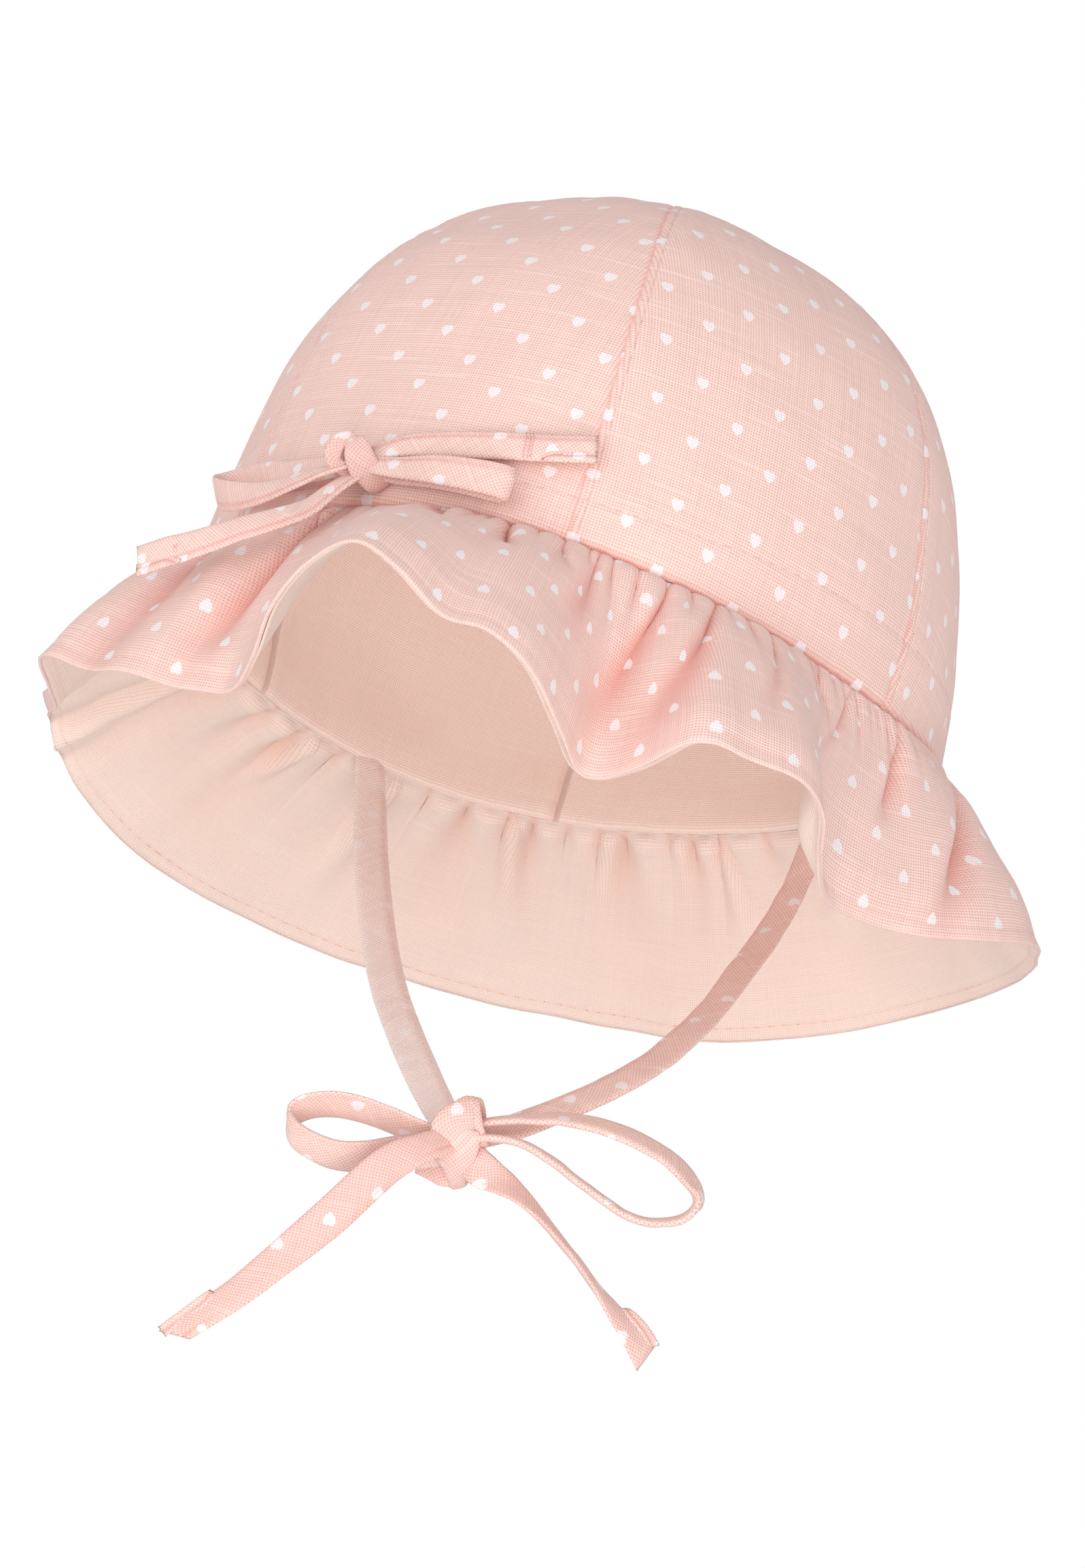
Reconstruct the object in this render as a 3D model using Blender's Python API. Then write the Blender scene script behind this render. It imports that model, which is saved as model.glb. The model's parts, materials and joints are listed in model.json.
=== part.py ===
"""A baby's sun hat with a gathered ruffle brim, a front bow and chin ties.

The hat is sewn from two layers of thin cloth: printed cloth outside, plain lining inside. Six
gored panels make the crown, a gathered ruffle makes the brim, a narrow folded strap makes the
small bow on the front, and two longer straps are the chin ties, knotted in a bow under the chin.

The frame is in metres with +Z up along the crown. The hat's front looks along -Y. The origin is
the centre of the head opening, in the plane of the seam between crown and brim. Angles go round
the crown's axis from the front, positive towards +X. Tables and named sizes are in millimetres
and degrees, and the last step of each shape turns them into metres.
"""

import math

import bmesh
import bpy
from mathutils import Euler, Matrix, Vector

MM = 0.001
MERGE = 0.01  # the two ends of a closed sheet's grid are joined within this distance

# Cloth and gaps
CLOTH = 1.0  # wall of one layer
GAP = 0.3  # clearance between neighbouring pieces
LINING_OFFSET = -1.0 - 2 * GAP / CLOTH  # puts the lining's wall one gap inside the outer cloth's
SEAM_DROP = 1.3  # how far the ruffle's upper edge sits below the crown's lower edge

# Crown
PANELS = 6
PANEL_NAMES = ("front_right", "side_right", "back_right", "back_left", "side_left", "front_left")
PANEL_COLUMNS = 6
CROWN_STEPS = 9
PANEL_TIP = 0.985  # share of the profile that a panel covers
LINING_TIP = 0.993  # and that the lining covers
PANEL_RIDGE = 0.010  # how much the seams stand proud of the panels' middles
CROWN_LEAN = 1.0  # the crown's middle height stands this far towards +X
RIM_TWIST = 2.7  # the rim seam rises and falls by this much, twice round
RIM_WAVE = 1.0  # and by this much, three times round
RIM_OVAL = 0.020  # the opening is this share longer from front left to back right

# Ruffle brim
GATHERS = 40
GATHER_CROWDING = 0.28  # how much closer the gathers lie at the front than on average
GATHER_UNEVENNESS = 1.2  # degrees
GATHER_DEPTH = 1.3
GATHER_REACH = 0.10  # share of the brim's width at which a gather is deepest
BRIM_SHARES = (0.0, 0.07, 0.18, 0.36, 0.58, 0.80, 1.0)
BELLY = 3.0  # how far the ruffle swells out of the straight line from seam to hem

# Straps
BOW_STRAP = 1.4  # thickness
TIE_STRAP = 1.6
SECTIONS_PER_ROW = 2  # sections of a strap for each row of its table
KNOT_ROUNDNESS = 0.6

# Profile of the crown's cloth, from the rim seam to the top
CROWN_PROFILE = (
    # height, radius
    (0.0, 74.6),
    (12.0, 75.2),
    (28.0, 73.6),
    (45.0, 70.2),
    (60.0, 65.0),
    (74.0, 56.8),
    (86.0, 43.6),
    (94.2, 25.5),
    (97.2, 0.0),
)

# Soft dents in the crown
CROWN_DENTS = (
    # angle, height, half width round, half height, depth
    (-38.0, 78.0, 22.0, 9.0, 1.2),
    (32.0, 74.0, 18.0, 12.0, 0.9),
    (95.0, 52.0, 16.0, 22.0, 1.0),
)

# Hem of the ruffle: one row for each turn of a fold, once round the hat
HEM = (
    # angle, radius, drop
    (-63.0, 107.0, 37.0),  # front left point
    (-57.0, 102.0, 40.0),
    (-49.0, 96.5, 42.5),
    (-40.0, 91.0, 43.5),  # front left lobe
    (-35.0, 93.0, 43.0),
    (-30.5, 99.0, 40.0),
    (-26.5, 108.0, 34.0),
    (-22.0, 114.5, 28.0),
    (-17.5, 117.0, 23.5),  # front left arch
    (-13.5, 115.5, 26.0),
    (-9.0, 111.0, 31.0),
    (-4.0, 109.0, 33.0),
    (1.0, 103.5, 38.5),
    (5.5, 94.0, 44.0),
    (9.0, 85.0, 47.0),  # front lobe
    (13.0, 85.0, 47.0),
    (16.5, 92.0, 45.0),
    (20.0, 101.0, 41.0),  # front right arch
    (26.0, 103.0, 40.0),
    (32.0, 104.0, 40.5),
    (37.0, 100.0, 43.0),
    (42.0, 91.5, 47.0),
    (48.5, 84.5, 50.0),
    (54.5, 83.0, 50.0),  # right lobe
    (61.0, 87.0, 49.0),
    (68.0, 96.0, 45.5),
    (74.0, 102.0, 41.5),
    (81.0, 106.5, 37.0),  # right point
    (92.0, 105.5, 33.0),
    (105.0, 107.0, 28.5),
    (118.0, 111.5, 24.0),
    (130.0, 112.0, 25.5),
    (142.0, 107.0, 31.0),
    (155.0, 103.0, 35.5),
    (168.0, 106.5, 34.0),
    (181.0, 110.0, 33.2),
    (195.0, 108.0, 34.2),
    (210.0, 109.0, 33.5),
    (225.0, 110.0, 32.0),
    (236.0, 111.0, 28.0),
    (243.0, 111.5, 23.5),  # back left crease
    (249.0, 110.0, 19.0),
    (258.0, 104.5, 20.0),
    (267.0, 100.5, 26.0),  # small left fold
    (275.0, 97.0, 33.5),
    (285.0, 96.5, 38.5),  # left valley
    (291.0, 101.0, 38.0),
)

# Straps. The width of a strap runs at slant degrees up from +X in the plane that faces the front,
# and leans towards the front by lean degrees.
BOW_LOOP_LEFT = (
    # x, y, z, slant, lean, width
    (-47.6, -65.8, 8.2, -82.0, 20.0, 5.0),
    (-52.0, -61.2, 8.4, -80.0, 14.0, 5.6),
    (-57.5, -55.0, 8.6, -78.0, 10.0, 6.0),
    (-62.6, -49.2, 9.4, -74.0, 8.0, 6.2),
    (-67.6, -43.8, 9.2, -70.0, 6.0, 6.2),
    (-70.3, -43.2, 7.6, -68.0, 4.0, 6.2),
    (-71.0, -46.4, 5.2, -66.0, 4.0, 6.2),
    (-69.0, -51.0, 3.0, -68.0, 8.0, 6.2),
    (-65.8, -55.6, 1.6, -72.0, 16.0, 6.2),
    (-61.9, -59.9, 1.2, -72.0, 26.0, 6.0),
    (-57.2, -63.8, 2.2, -71.0, 36.0, 5.4),
    (-52.2, -67.2, 4.2, -71.0, 46.0, 5.0),
    (-49.0, -69.2, 5.6, -73.0, 52.0, 4.6),
)
BOW_LOOP_RIGHT = (
    (-35.6, -70.4, 7.0, -84.0, 10.0, 6.0),
    (-27.0, -74.0, 7.7, -84.0, 2.0, 6.4),
    (-19.4, -76.4, 7.8, -86.0, -3.0, 6.8),
    (-14.6, -77.3, 7.8, -88.0, -4.0, 6.8),
    (-12.5, -78.7, 7.8, -89.0, -5.0, 6.8),
    (-14.4, -80.1, 7.8, -88.0, -6.0, 6.8),
    (-19.8, -79.2, 7.7, -86.0, -6.0, 6.8),
    (-27.6, -76.9, 7.6, -84.0, 0.0, 6.4),
    (-35.8, -73.4, 7.0, -84.0, 12.0, 6.0),
)
BOW_TAIL_LEFT = (
    (-46.6, -68.6, 3.6, -58.0, 58.0, 5.4),
    (-50.0, -68.6, -0.4, -62.0, 57.0, 5.6),
    (-54.6, -68.4, -3.6, -65.0, 54.0, 5.8),
    (-61.8, -65.6, -7.0, -63.0, 44.0, 6.0),
    (-69.9, -62.0, -11.4, -61.0, 33.0, 6.0),
    (-75.8, -58.0, -13.6, -61.0, 27.0, 6.0),
    (-81.0, -54.0, -15.6, -66.0, 18.0, 6.0),
)
BOW_TAIL_RIGHT = (
    (-36.0, -71.2, 13.4, -74.0, 14.0, 4.4),
    (-29.1, -73.0, 14.8, -76.0, 10.0, 5.0),
    (-21.6, -75.2, 15.6, -78.0, 8.0, 5.4),
    (-13.5, -77.0, 16.4, -80.0, 8.0, 5.4),
    (-5.6, -77.9, 17.7, -82.0, 8.0, 5.2),
    (1.6, -78.0, 19.3, -84.0, 8.0, 5.2),
)
TIE_LEFT = (
    (-38.3, 58.8, -3.6, 5.0, -33.0, 6.8),
    (-36.2, 55.0, -14.5, 10.0, -28.0, 7.2),
    (-32.4, 46.0, -28.4, 20.0, -25.0, 7.2),
    (-27.8, 35.0, -42.6, 32.0, -32.0, 7.2),
    (-24.0, 26.0, -53.2, 38.0, -33.0, 7.2),
    (-18.7, 13.0, -66.2, 42.0, -30.0, 7.2),
    (-12.5, 0.0, -78.3, 45.0, -26.0, 7.2),
    (-5.7, -13.0, -90.0, 50.0, -23.0, 7.2),
    (0.4, -22.0, -99.4, 56.0, -23.0, 6.8),
)
TIE_RIGHT = (
    (55.1, 47.2, 1.6, -10.0, 47.0, 7.0),
    (54.8, 43.5, -8.0, -24.0, 47.0, 7.2),
    (53.8, 38.8, -18.0, -30.0, 47.0, 7.2),
    (51.4, 30.5, -30.7, -34.0, 46.0, 7.2),
    (48.6, 20.0, -42.9, -38.0, 47.0, 7.2),
    (45.7, 9.0, -55.0, -43.0, 48.0, 7.2),
    (42.3, -0.6, -65.5, -49.0, 46.0, 7.2),
    (36.6, -11.4, -77.6, -54.0, 43.0, 7.2),
    (28.4, -19.0, -88.2, -57.0, 38.0, 7.2),
    (17.6, -22.6, -97.6, -60.0, 30.0, 7.0),
    (12.0, -24.0, -101.6, -61.0, 28.0, 6.4),
)
TIE_LOOP_LEFT = (
    (1.0, -29.4, -107.4, -110.0, -62.0, 6.6),
    (-7.0, -31.0, -106.4, -112.0, -64.0, 7.0),
    (-13.3, -32.0, -106.0, -108.0, -66.0, 7.2),
    (-19.4, -32.6, -106.5, -100.0, -64.0, 7.2),
    (-24.2, -33.0, -108.6, -88.0, -60.0, 7.0),
    (-26.0, -33.2, -111.6, -80.0, -56.0, 6.8),
    (-23.6, -33.8, -114.8, -84.0, -58.0, 7.0),
    (-16.8, -34.2, -116.6, -88.0, -56.0, 7.2),
    (-10.3, -33.6, -115.4, -86.0, -46.0, 7.2),
    (-4.4, -32.2, -112.8, -78.0, -28.0, 7.0),
    (0.4, -31.0, -110.8, -72.0, -20.0, 6.6),
)
TIE_LOOP_RIGHT = (
    (12.2, -30.2, -101.4, -78.0, 69.0, 6.4),
    (21.6, -30.0, -98.3, -78.0, 66.0, 7.2),
    (28.0, -30.0, -97.3, -82.0, 62.0, 7.2),
    (35.2, -30.5, -97.7, -85.0, 60.0, 7.2),
    (42.8, -31.0, -99.5, -88.0, 61.0, 7.2),
    (48.3, -32.0, -102.3, -92.0, 63.0, 7.2),
    (52.4, -33.0, -106.0, -93.0, 66.0, 7.2),
    (53.4, -34.0, -109.6, -92.0, 69.0, 7.2),
    (51.0, -34.6, -113.2, -86.0, 72.0, 7.2),
    (45.4, -35.0, -115.2, -80.0, 71.0, 7.2),
    (39.8, -35.0, -114.6, -78.0, 70.0, 7.2),
    (32.2, -34.5, -111.3, -77.0, 70.0, 7.2),
    (24.4, -33.6, -107.4, -76.0, 70.0, 7.2),
    (18.4, -32.8, -105.4, -77.0, 71.0, 7.0),
    (12.2, -32.0, -105.4, -79.0, 73.0, 6.4),
)
TIE_TAIL_LEFT = (
    (1.0, -36.0, -111.2, -44.0, 4.0, 6.2),
    (-5.2, -39.4, -117.8, -38.0, -12.0, 7.2),
    (-13.3, -40.4, -131.0, -38.0, -14.0, 7.4),
    (-20.5, -40.5, -141.3, -43.0, 12.0, 7.2),
    (-26.0, -40.0, -148.7, -45.0, 28.0, 7.2),
    (-31.0, -39.0, -154.2, -43.0, 29.0, 7.2),
    (-35.9, -38.0, -159.6, -39.0, 28.0, 7.2),
)
TIE_TAIL_RIGHT = (
    (12.0, -31.6, -112.0, -113.0, -8.0, 7.0),
    (16.4, -32.4, -113.8, -103.0, 30.0, 7.0),
    (22.0, -33.6, -116.9, -96.0, 56.0, 6.8),
    (28.2, -35.0, -121.4, -84.0, 68.0, 6.6),
    (33.8, -36.0, -126.0, -80.0, 69.0, 6.6),
    (38.9, -36.6, -130.6, -84.0, 66.0, 6.8),
    (43.4, -36.6, -134.4, -97.0, 53.0, 7.0),
    (47.6, -36.2, -137.6, -110.0, 38.0, 7.2),
    (51.4, -35.6, -141.6, -116.0, 30.0, 7.2),
)

# Knots: soft blocks
BOW_KNOT = ((-42.0, -69.6, 8.2), (12.2, 6.4, 8.4), (31.0, 0.0, -31.0))  # centre, size, turn
TIE_KNOT = ((6.3, -28.8, -107.0), (9.4, 8.4, 15.4), (0.0, -5.0, 0.0))

PRINTED_CLOTH = ("printed_linen", (0.871, 0.624, 0.565), 0.85)
LINING_CLOTH = ("lining_cotton", (0.888, 0.658, 0.578), 0.88)


def clear_scene():
    for thing in list(bpy.data.objects):
        bpy.data.objects.remove(thing, do_unlink=True)


def cloth_material(name, colour, roughness):
    material = bpy.data.materials.new(name)
    material.use_nodes = True
    shader = material.node_tree.nodes["Principled BSDF"]
    shader.inputs["Base Color"].default_value = (*colour, 1.0)
    shader.inputs["Roughness"].default_value = roughness
    shader.inputs["Metallic"].default_value = 0.0
    return material


def new_piece(name, shape):
    mesh = bpy.data.meshes.new(name)
    shape.to_mesh(mesh)
    shape.free()
    piece = bpy.data.objects.new(name, mesh)
    bpy.context.scene.collection.objects.link(piece)
    return piece


def smooth_value(rows, column, at):
    """Reads one column of a table at a place of its first column, on a smooth curve."""
    last = len(rows) - 1
    place = next((i for i in range(1, last) if rows[i][0] > at), last)
    low, high = rows[place - 1], rows[place]
    before = rows[max(place - 2, 0)]
    after = rows[min(place + 1, last)]
    width = high[0] - low[0]
    share = (at - low[0]) / width
    slope_low = (high[column] - before[column]) / (high[0] - before[0])
    slope_high = (after[column] - low[column]) / (after[0] - low[0])
    a = low[column] * (1 + 2 * share) * (1 - share) ** 2
    b = high[column] * (3 - 2 * share) * share**2
    c = slope_low * width * share * (1 - share) ** 2
    d = slope_high * width * share**2 * (share - 1)
    return a + b + c + d


def round_trip(rows):
    """The rows of a loop, with three rows repeated a full turn on at either end."""
    before = [(row[0] - 360.0, *row[1:]) for row in rows[-3:]]
    after = [(row[0] + 360.0, *row[1:]) for row in rows[:3]]
    return (*before, *rows, *after)


HEM_LOOP = round_trip(HEM)


def outward(angle):
    turn = math.radians(angle)
    return Vector((math.sin(turn), -math.cos(turn), 0.0))


def rim_height(angle):
    turn = math.radians(angle)
    return RIM_WAVE * math.cos(3 * turn) - RIM_TWIST * math.sin(2 * turn)


def smooth_path(points, parameters, at):
    """A point on the smooth curve through a list of vectors."""
    rows = [(p, *point) for p, point in zip(parameters, points)]
    return Vector([smooth_value(rows, column, at) for column in range(1, len(rows[0]))])


def lengths_along(points):
    lengths = [0.0]
    for here, there in zip(points, points[1:]):
        lengths.append(lengths[-1] + (there - here).length)
    return lengths


PROFILE_POINTS = [Vector(row) for row in CROWN_PROFILE]
PROFILE_LENGTHS = lengths_along(PROFILE_POINTS)


def dent_depth(angle, height):
    depth = 0.0
    for centre, level, half_round, half_tall, deep in CROWN_DENTS:
        sideways = ((angle - centre + 180.0) % 360.0 - 180.0) / half_round
        upward = (height - level) / half_tall
        depth += deep * math.exp(-(sideways**2) - upward**2)
    return depth


def crown_point(angle, along):
    """A point of the crown's cloth, along millimetres up from the rim seam."""
    height, radius = smooth_path(PROFILE_POINTS, PROFILE_LENGTHS, min(along, PROFILE_LENGTHS[-1]))
    turn = math.radians(angle)
    fade = (1.0 - height / CROWN_PROFILE[-1][0]) ** 2
    radius *= 1.0 - RIM_OVAL * fade * math.sin(2 * turn)
    radius *= 1.0 + PANEL_RIDGE * (1.0 - fade) * math.cos(PANELS * turn)
    inward = min(dent_depth(angle, height), radius)
    lean = CROWN_LEAN * math.sin(math.pi * height / CROWN_PROFILE[-1][0])
    middle = Vector((lean, 0.0, height + fade * rim_height(angle)))
    point = middle + outward(angle) * radius
    return point - (outward(angle) * 0.6 + Vector((0.0, 0.0, 0.8))) * inward


def gather_angle(number):
    """Where a gather's crease meets the seam."""
    even = 360.0 * number / GATHERS
    crowded = even - math.degrees(GATHER_CROWDING * math.sin(math.radians(even)))
    return crowded + GATHER_UNEVENNESS * math.sin(2.4 * (number % GATHERS))


def gather_swing(angle):
    """-1 in a gather's crease, up to 1 on the puff between two."""
    turned = angle % 360.0
    number = next(n for n in range(GATHERS + 1) if gather_angle(n + 1) > turned)
    if turned < gather_angle(0):
        number = -1
    start, end = gather_angle(number), gather_angle(number + 1)
    return -math.cos(2 * math.pi * (turned - start) / (end - start))


def brim_point(angle, share):
    """A point of the ruffle's cloth, from its seam at share 0 to its hem at share 1."""
    turned = (angle - HEM[0][0]) % 360.0 + HEM[0][0]
    turn = math.radians(angle)
    seam_radius = (CROWN_PROFILE[0][1] + GAP) * (1.0 - RIM_OVAL * math.sin(2 * turn))
    seam_height = rim_height(angle) - SEAM_DROP
    run = smooth_value(HEM_LOOP, 1, turned) - seam_radius
    fall = smooth_value(HEM_LOOP, 2, turned) + seam_height
    slope = math.hypot(run, fall)
    depth = share / GATHER_REACH * math.exp(1.0 - share / GATHER_REACH)
    spread = share**0.75
    swell = BELLY * 4 * spread * (1 - spread) + GATHER_DEPTH * depth * gather_swing(angle)
    radius = seam_radius + run * share + swell * fall / slope
    height = seam_height - fall * share + swell * run / slope
    return outward(angle) * radius + Vector((0.0, 0.0, height))


def sheet(name, columns, rows, place, thickness, offset, closed=False):
    """A grid of cloth laid out by place(column, row), thickened by a Solidify modifier."""
    shape = bmesh.new()
    bmesh.ops.create_grid(shape, x_segments=columns, y_segments=rows, size=0.5)
    for corner in shape.verts:
        column = round((corner.co.x + 0.5) * columns)
        row = round((corner.co.y + 0.5) * rows)
        corner.co = place(column, row) * MM
    if closed:
        bmesh.ops.remove_doubles(shape, verts=shape.verts, dist=MERGE * MM)
    piece = new_piece(name, shape)
    wall = piece.modifiers.new("wall", "SOLIDIFY")
    wall.thickness = thickness * MM
    wall.offset = offset
    wall.use_even_offset = True
    return piece


def width_direction(slant, lean):
    along, forward = math.radians(slant), math.radians(lean)
    level = math.cos(forward)
    return Vector((level * math.cos(along), -math.sin(forward), level * math.sin(along)))


def strap(name, rows, thickness):
    """A flat strap along a smooth curve, from a table of its sections."""
    steps = range(len(rows))
    centres = [Vector(row[:3]) for row in rows]
    widths = [width_direction(row[3], row[4]) * row[5] for row in rows]

    def place(column, row):
        at = row / SECTIONS_PER_ROW
        centre = smooth_path(centres, steps, at)
        ahead = smooth_path(centres, steps, min(at + 0.05, len(rows) - 1))
        behind = smooth_path(centres, steps, max(at - 0.05, 0.0))
        line = (ahead - behind).normalized()
        width = smooth_path(widths, steps, at)
        across = (width - line * width.dot(line)).normalized() * width.length
        return centre + across * (column - 0.5)

    return sheet(name, 1, SECTIONS_PER_ROW * (len(rows) - 1), place, thickness, 0.0)


def knot(name, centre, size, turn):
    """A block of cloth with all its corners rounded off."""
    shape = bmesh.new()
    bmesh.ops.create_cube(shape, size=1.0)
    bmesh.ops.subdivide_edges(shape, edges=shape.edges, cuts=3, use_grid_fill=True)
    for corner in shape.verts:
        ball = corner.co.normalized() * 0.5
        corner.co = corner.co.lerp(ball, KNOT_ROUNDNESS)
    turned = Euler([math.radians(angle) for angle in turn], "YXZ").to_matrix()
    placed = Matrix.LocRotScale(Vector(centre) * MM, turned, Vector(size) * MM)
    bmesh.ops.transform(shape, matrix=placed, verts=shape.verts)
    return new_piece(name, shape)


def crown_panels():
    """The six gored panels of printed cloth, with a fine gap along each seam."""
    panels = []
    length = PROFILE_LENGTHS[-1] * PANEL_TIP
    for number, side in enumerate(PANEL_NAMES):

        def place(column, row, number=number):
            share = column / PANEL_COLUMNS
            angle = 360.0 / PANELS * (number + share)
            apart = outward(angle + 90.0) * GAP * (0.5 - share)
            return crown_point(angle, length * row / CROWN_STEPS) + apart

        panels.append(sheet("crown_panel_" + side, PANEL_COLUMNS, CROWN_STEPS, place, CLOTH, 1.0))
    return panels


def crown_lining():
    """The lining follows the panels' rows, and one more row closes it at the top."""
    columns = PANELS * PANEL_COLUMNS
    shares = [PANEL_TIP * step / CROWN_STEPS for step in range(CROWN_STEPS + 1)] + [LINING_TIP]

    def place(column, row):
        return crown_point(360.0 * column / columns, PROFILE_LENGTHS[-1] * shares[row])

    return sheet("crown_lining", columns, CROWN_STEPS + 1, place, CLOTH, LINING_OFFSET, closed=True)


def ruffle(name, offset):
    """One layer of the brim. Each gather has a column in its crease and two on its puff."""
    angles = []
    for number in range(GATHERS):
        start, end = gather_angle(number), gather_angle(number + 1)
        angles += [start + (end - start) * third / 3.0 for third in range(3)]
    angles.append(angles[0] + 360.0)
    steps = len(BRIM_SHARES) - 1

    def place(column, row):
        return brim_point(angles[column], BRIM_SHARES[steps - row])

    return sheet(name, len(angles) - 1, steps, place, CLOTH, offset, closed=True)


def front_bow():
    return [
        knot("bow_knot", *BOW_KNOT),
        strap("bow_loop_left", BOW_LOOP_LEFT, BOW_STRAP),
        strap("bow_loop_right", BOW_LOOP_RIGHT, BOW_STRAP),
        strap("bow_tail_left", BOW_TAIL_LEFT, BOW_STRAP),
        strap("bow_tail_right", BOW_TAIL_RIGHT, BOW_STRAP),
    ]


def chin_ties():
    return [
        knot("tie_knot", *TIE_KNOT),
        strap("tie_left", TIE_LEFT, TIE_STRAP),
        strap("tie_right", TIE_RIGHT, TIE_STRAP),
        strap("tie_loop_left", TIE_LOOP_LEFT, TIE_STRAP),
        strap("tie_loop_right", TIE_LOOP_RIGHT, TIE_STRAP),
        strap("tie_tail_left", TIE_TAIL_LEFT, TIE_STRAP),
        strap("tie_tail_right", TIE_TAIL_RIGHT, TIE_STRAP),
    ]


def main():
    clear_scene()
    printed = cloth_material(*PRINTED_CLOTH)
    plain = cloth_material(*LINING_CLOTH)
    outside = crown_panels() + [ruffle("brim", 1.0)] + front_bow() + chin_ties()
    inside = [crown_lining(), ruffle("brim_lining", LINING_OFFSET)]
    for piece in outside:
        piece.data.materials.append(printed)
    for piece in inside:
        piece.data.materials.append(plain)
    for piece in outside + inside:
        piece.data.shade_smooth()


main()
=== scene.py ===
# %% [markdown]
# # A baby's sun hat
# The real hat is sewn from two layers of thin cloth: printed linen outside, plain cotton inside.
# Six gored panels make the crown, a gathered ruffle makes the brim, and narrow folded straps make
# the bow on the front and the ties under the chin. The solids of the hat come in as a fixed
# frame, in metres. Each of them is replaced here by a finely folded piece of cloth in the same
# place, so the sizes stay, and the seams, gathers, stitches and weave are added.

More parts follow.
